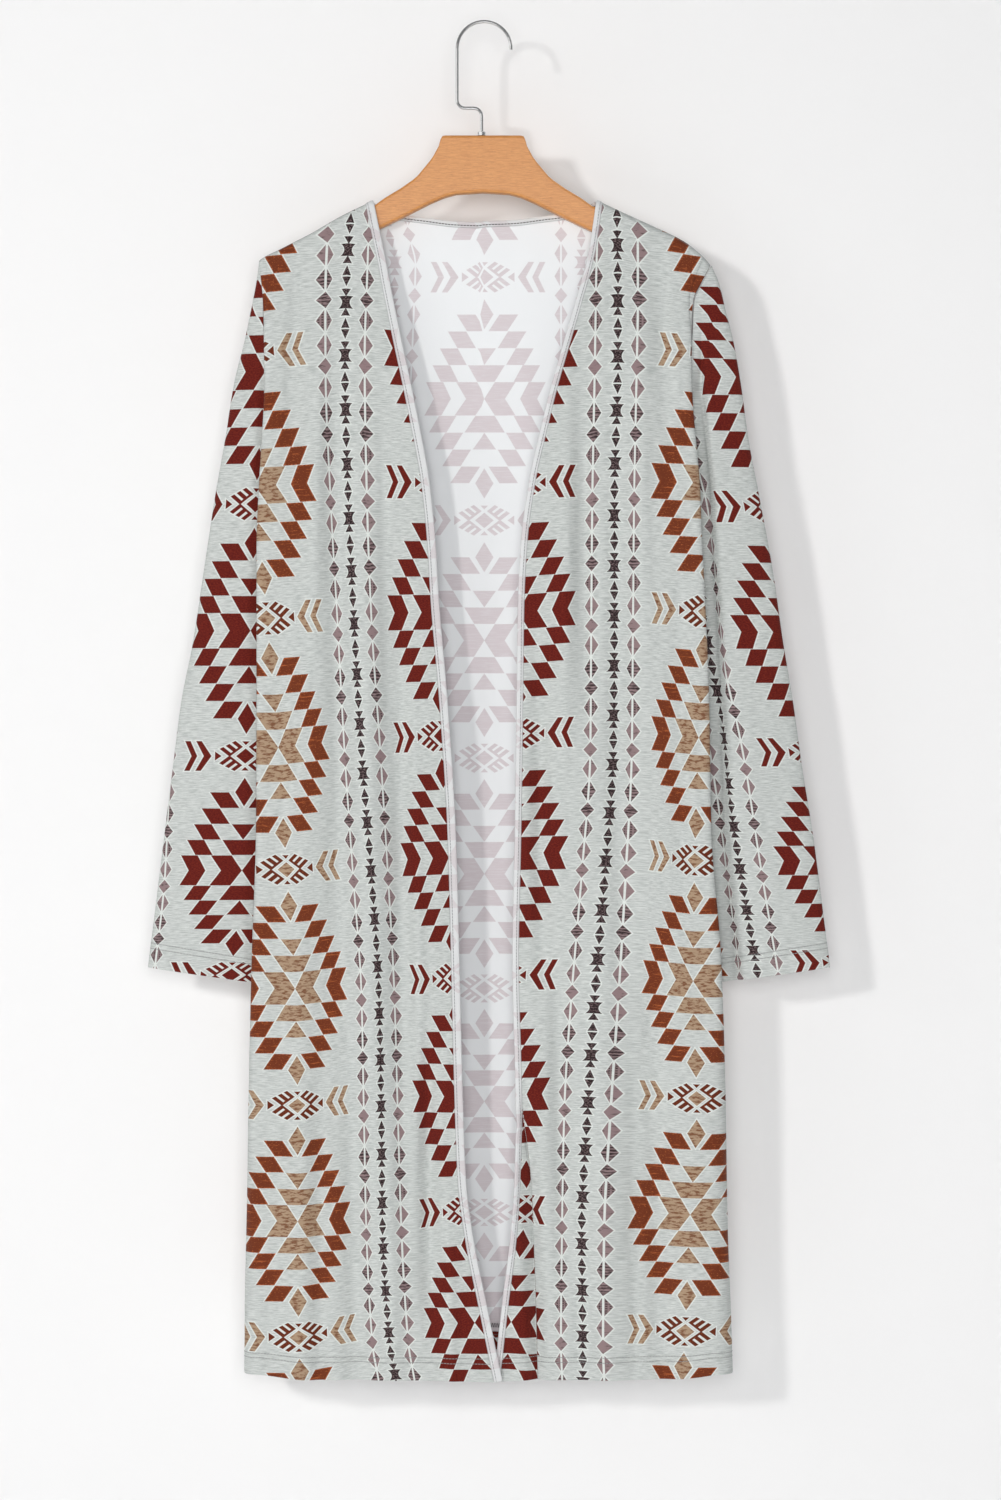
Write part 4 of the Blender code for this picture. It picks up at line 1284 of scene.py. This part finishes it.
# The room and its lights, in metres: each light's place, size, power and colour
WALL_Y, WALL_TOP = 0.072, 2.0
FLOOR_Z, FLOOR_END = -1.9, -6.0
ROOM_SIDE = 3.0
LIT_PLACE = (0.0, 0.0, -0.6)
LIGHTS = {
    "key": ((-1.85, -3.4, 0.25), 0.36, 42, (1.0, 0.985, 0.965)),
    "window": ((-3.3, -2.3, 0.1), 2.0, 11, (1.0, 0.995, 0.99)),
    "front": ((0.0, -3.7, -0.5), 1.4, 64, (1.0, 0.995, 0.99)),
    "behind": ((0.9, 2.6, 0.9), 1.6, 55, (1.0, 1.0, 1.0)),
}


def build_stage():
    sides = (-ROOM_SIDE, ROOM_SIDE)
    foot = [(x, WALL_Y, FLOOR_Z) for x in sides]
    head = [(x, WALL_Y, WALL_TOP) for x in sides[::-1]]
    near = [(x, FLOOR_END, FLOOR_Z) for x in sides]
    wall = plane("wall", foot + head, paper("wall_paint", WALL_PAINT, seen_through=True))
    wall.visible_shadow = False
    plane("floor", near + foot[::-1], paper("floor_paint", FLOOR_PAINT))


def build_lights():
    bpy.context.scene.view_settings.view_transform = "Standard"
    world = bpy.data.worlds.new("soft_room")
    bpy.context.scene.world = world
    world.use_nodes = True
    background = world.node_tree.nodes["Background"]
    background.inputs[0].default_value = (0.96, 0.98, 1.0, 1.0)
    background.inputs[1].default_value = 0.25
    for name, light in LIGHTS.items():
        area_light(name, *light)


def build_camera():
    data = bpy.data.cameras.new("camera")
    data.sensor_width = 36.0
    data.lens = 87.8
    data.dof.use_dof = False
    made = put("camera", data)
    made.location = (0.0135, -3.015, -0.599)
    made.rotation_euler = (math.pi / 2, 0.0, 0.0)
    data.clip_start, data.clip_end = 0.05, 50.0
    bpy.context.scene.camera = made


def dress(node, look):
    """Gives a carried-over solid its finish."""
    made = bpy.data.objects[node]
    made.data.materials.clear()
    made.data.materials.append(look)


def main():
    build_stage()
    build_lights()
    build_camera()
    printed = cloth_print()
    # the inside and the binding get painted shade lines along their rows of stitches
    wrong = cloth_wrong_side("jersey_wrong_side", WRONG_SIDE, 0.62, HEM_ROWS)
    bound = cloth_wrong_side("jersey_binding", BAND_CLOTH, 0.4, BAND_SHADE_LINES)
    pale, dark, grey = [thread(f"{name}_thread", tone) for name, tone in THREADS.items()]
    looks = (printed, wrong, pale, dark, bound, grey)
    for side in (RIGHT, LEFT):
        front, extras = build_front(side, looks)
        sleeve, extras = build_sleeve(side, looks)
    back, extras = build_back(looks)
    dress("hanger_body", wood())
    dress("hanger_hook", steel("hook_steel"))
    dress("hook_ferrule", steel("ferrule_steel", 0.7))


main()
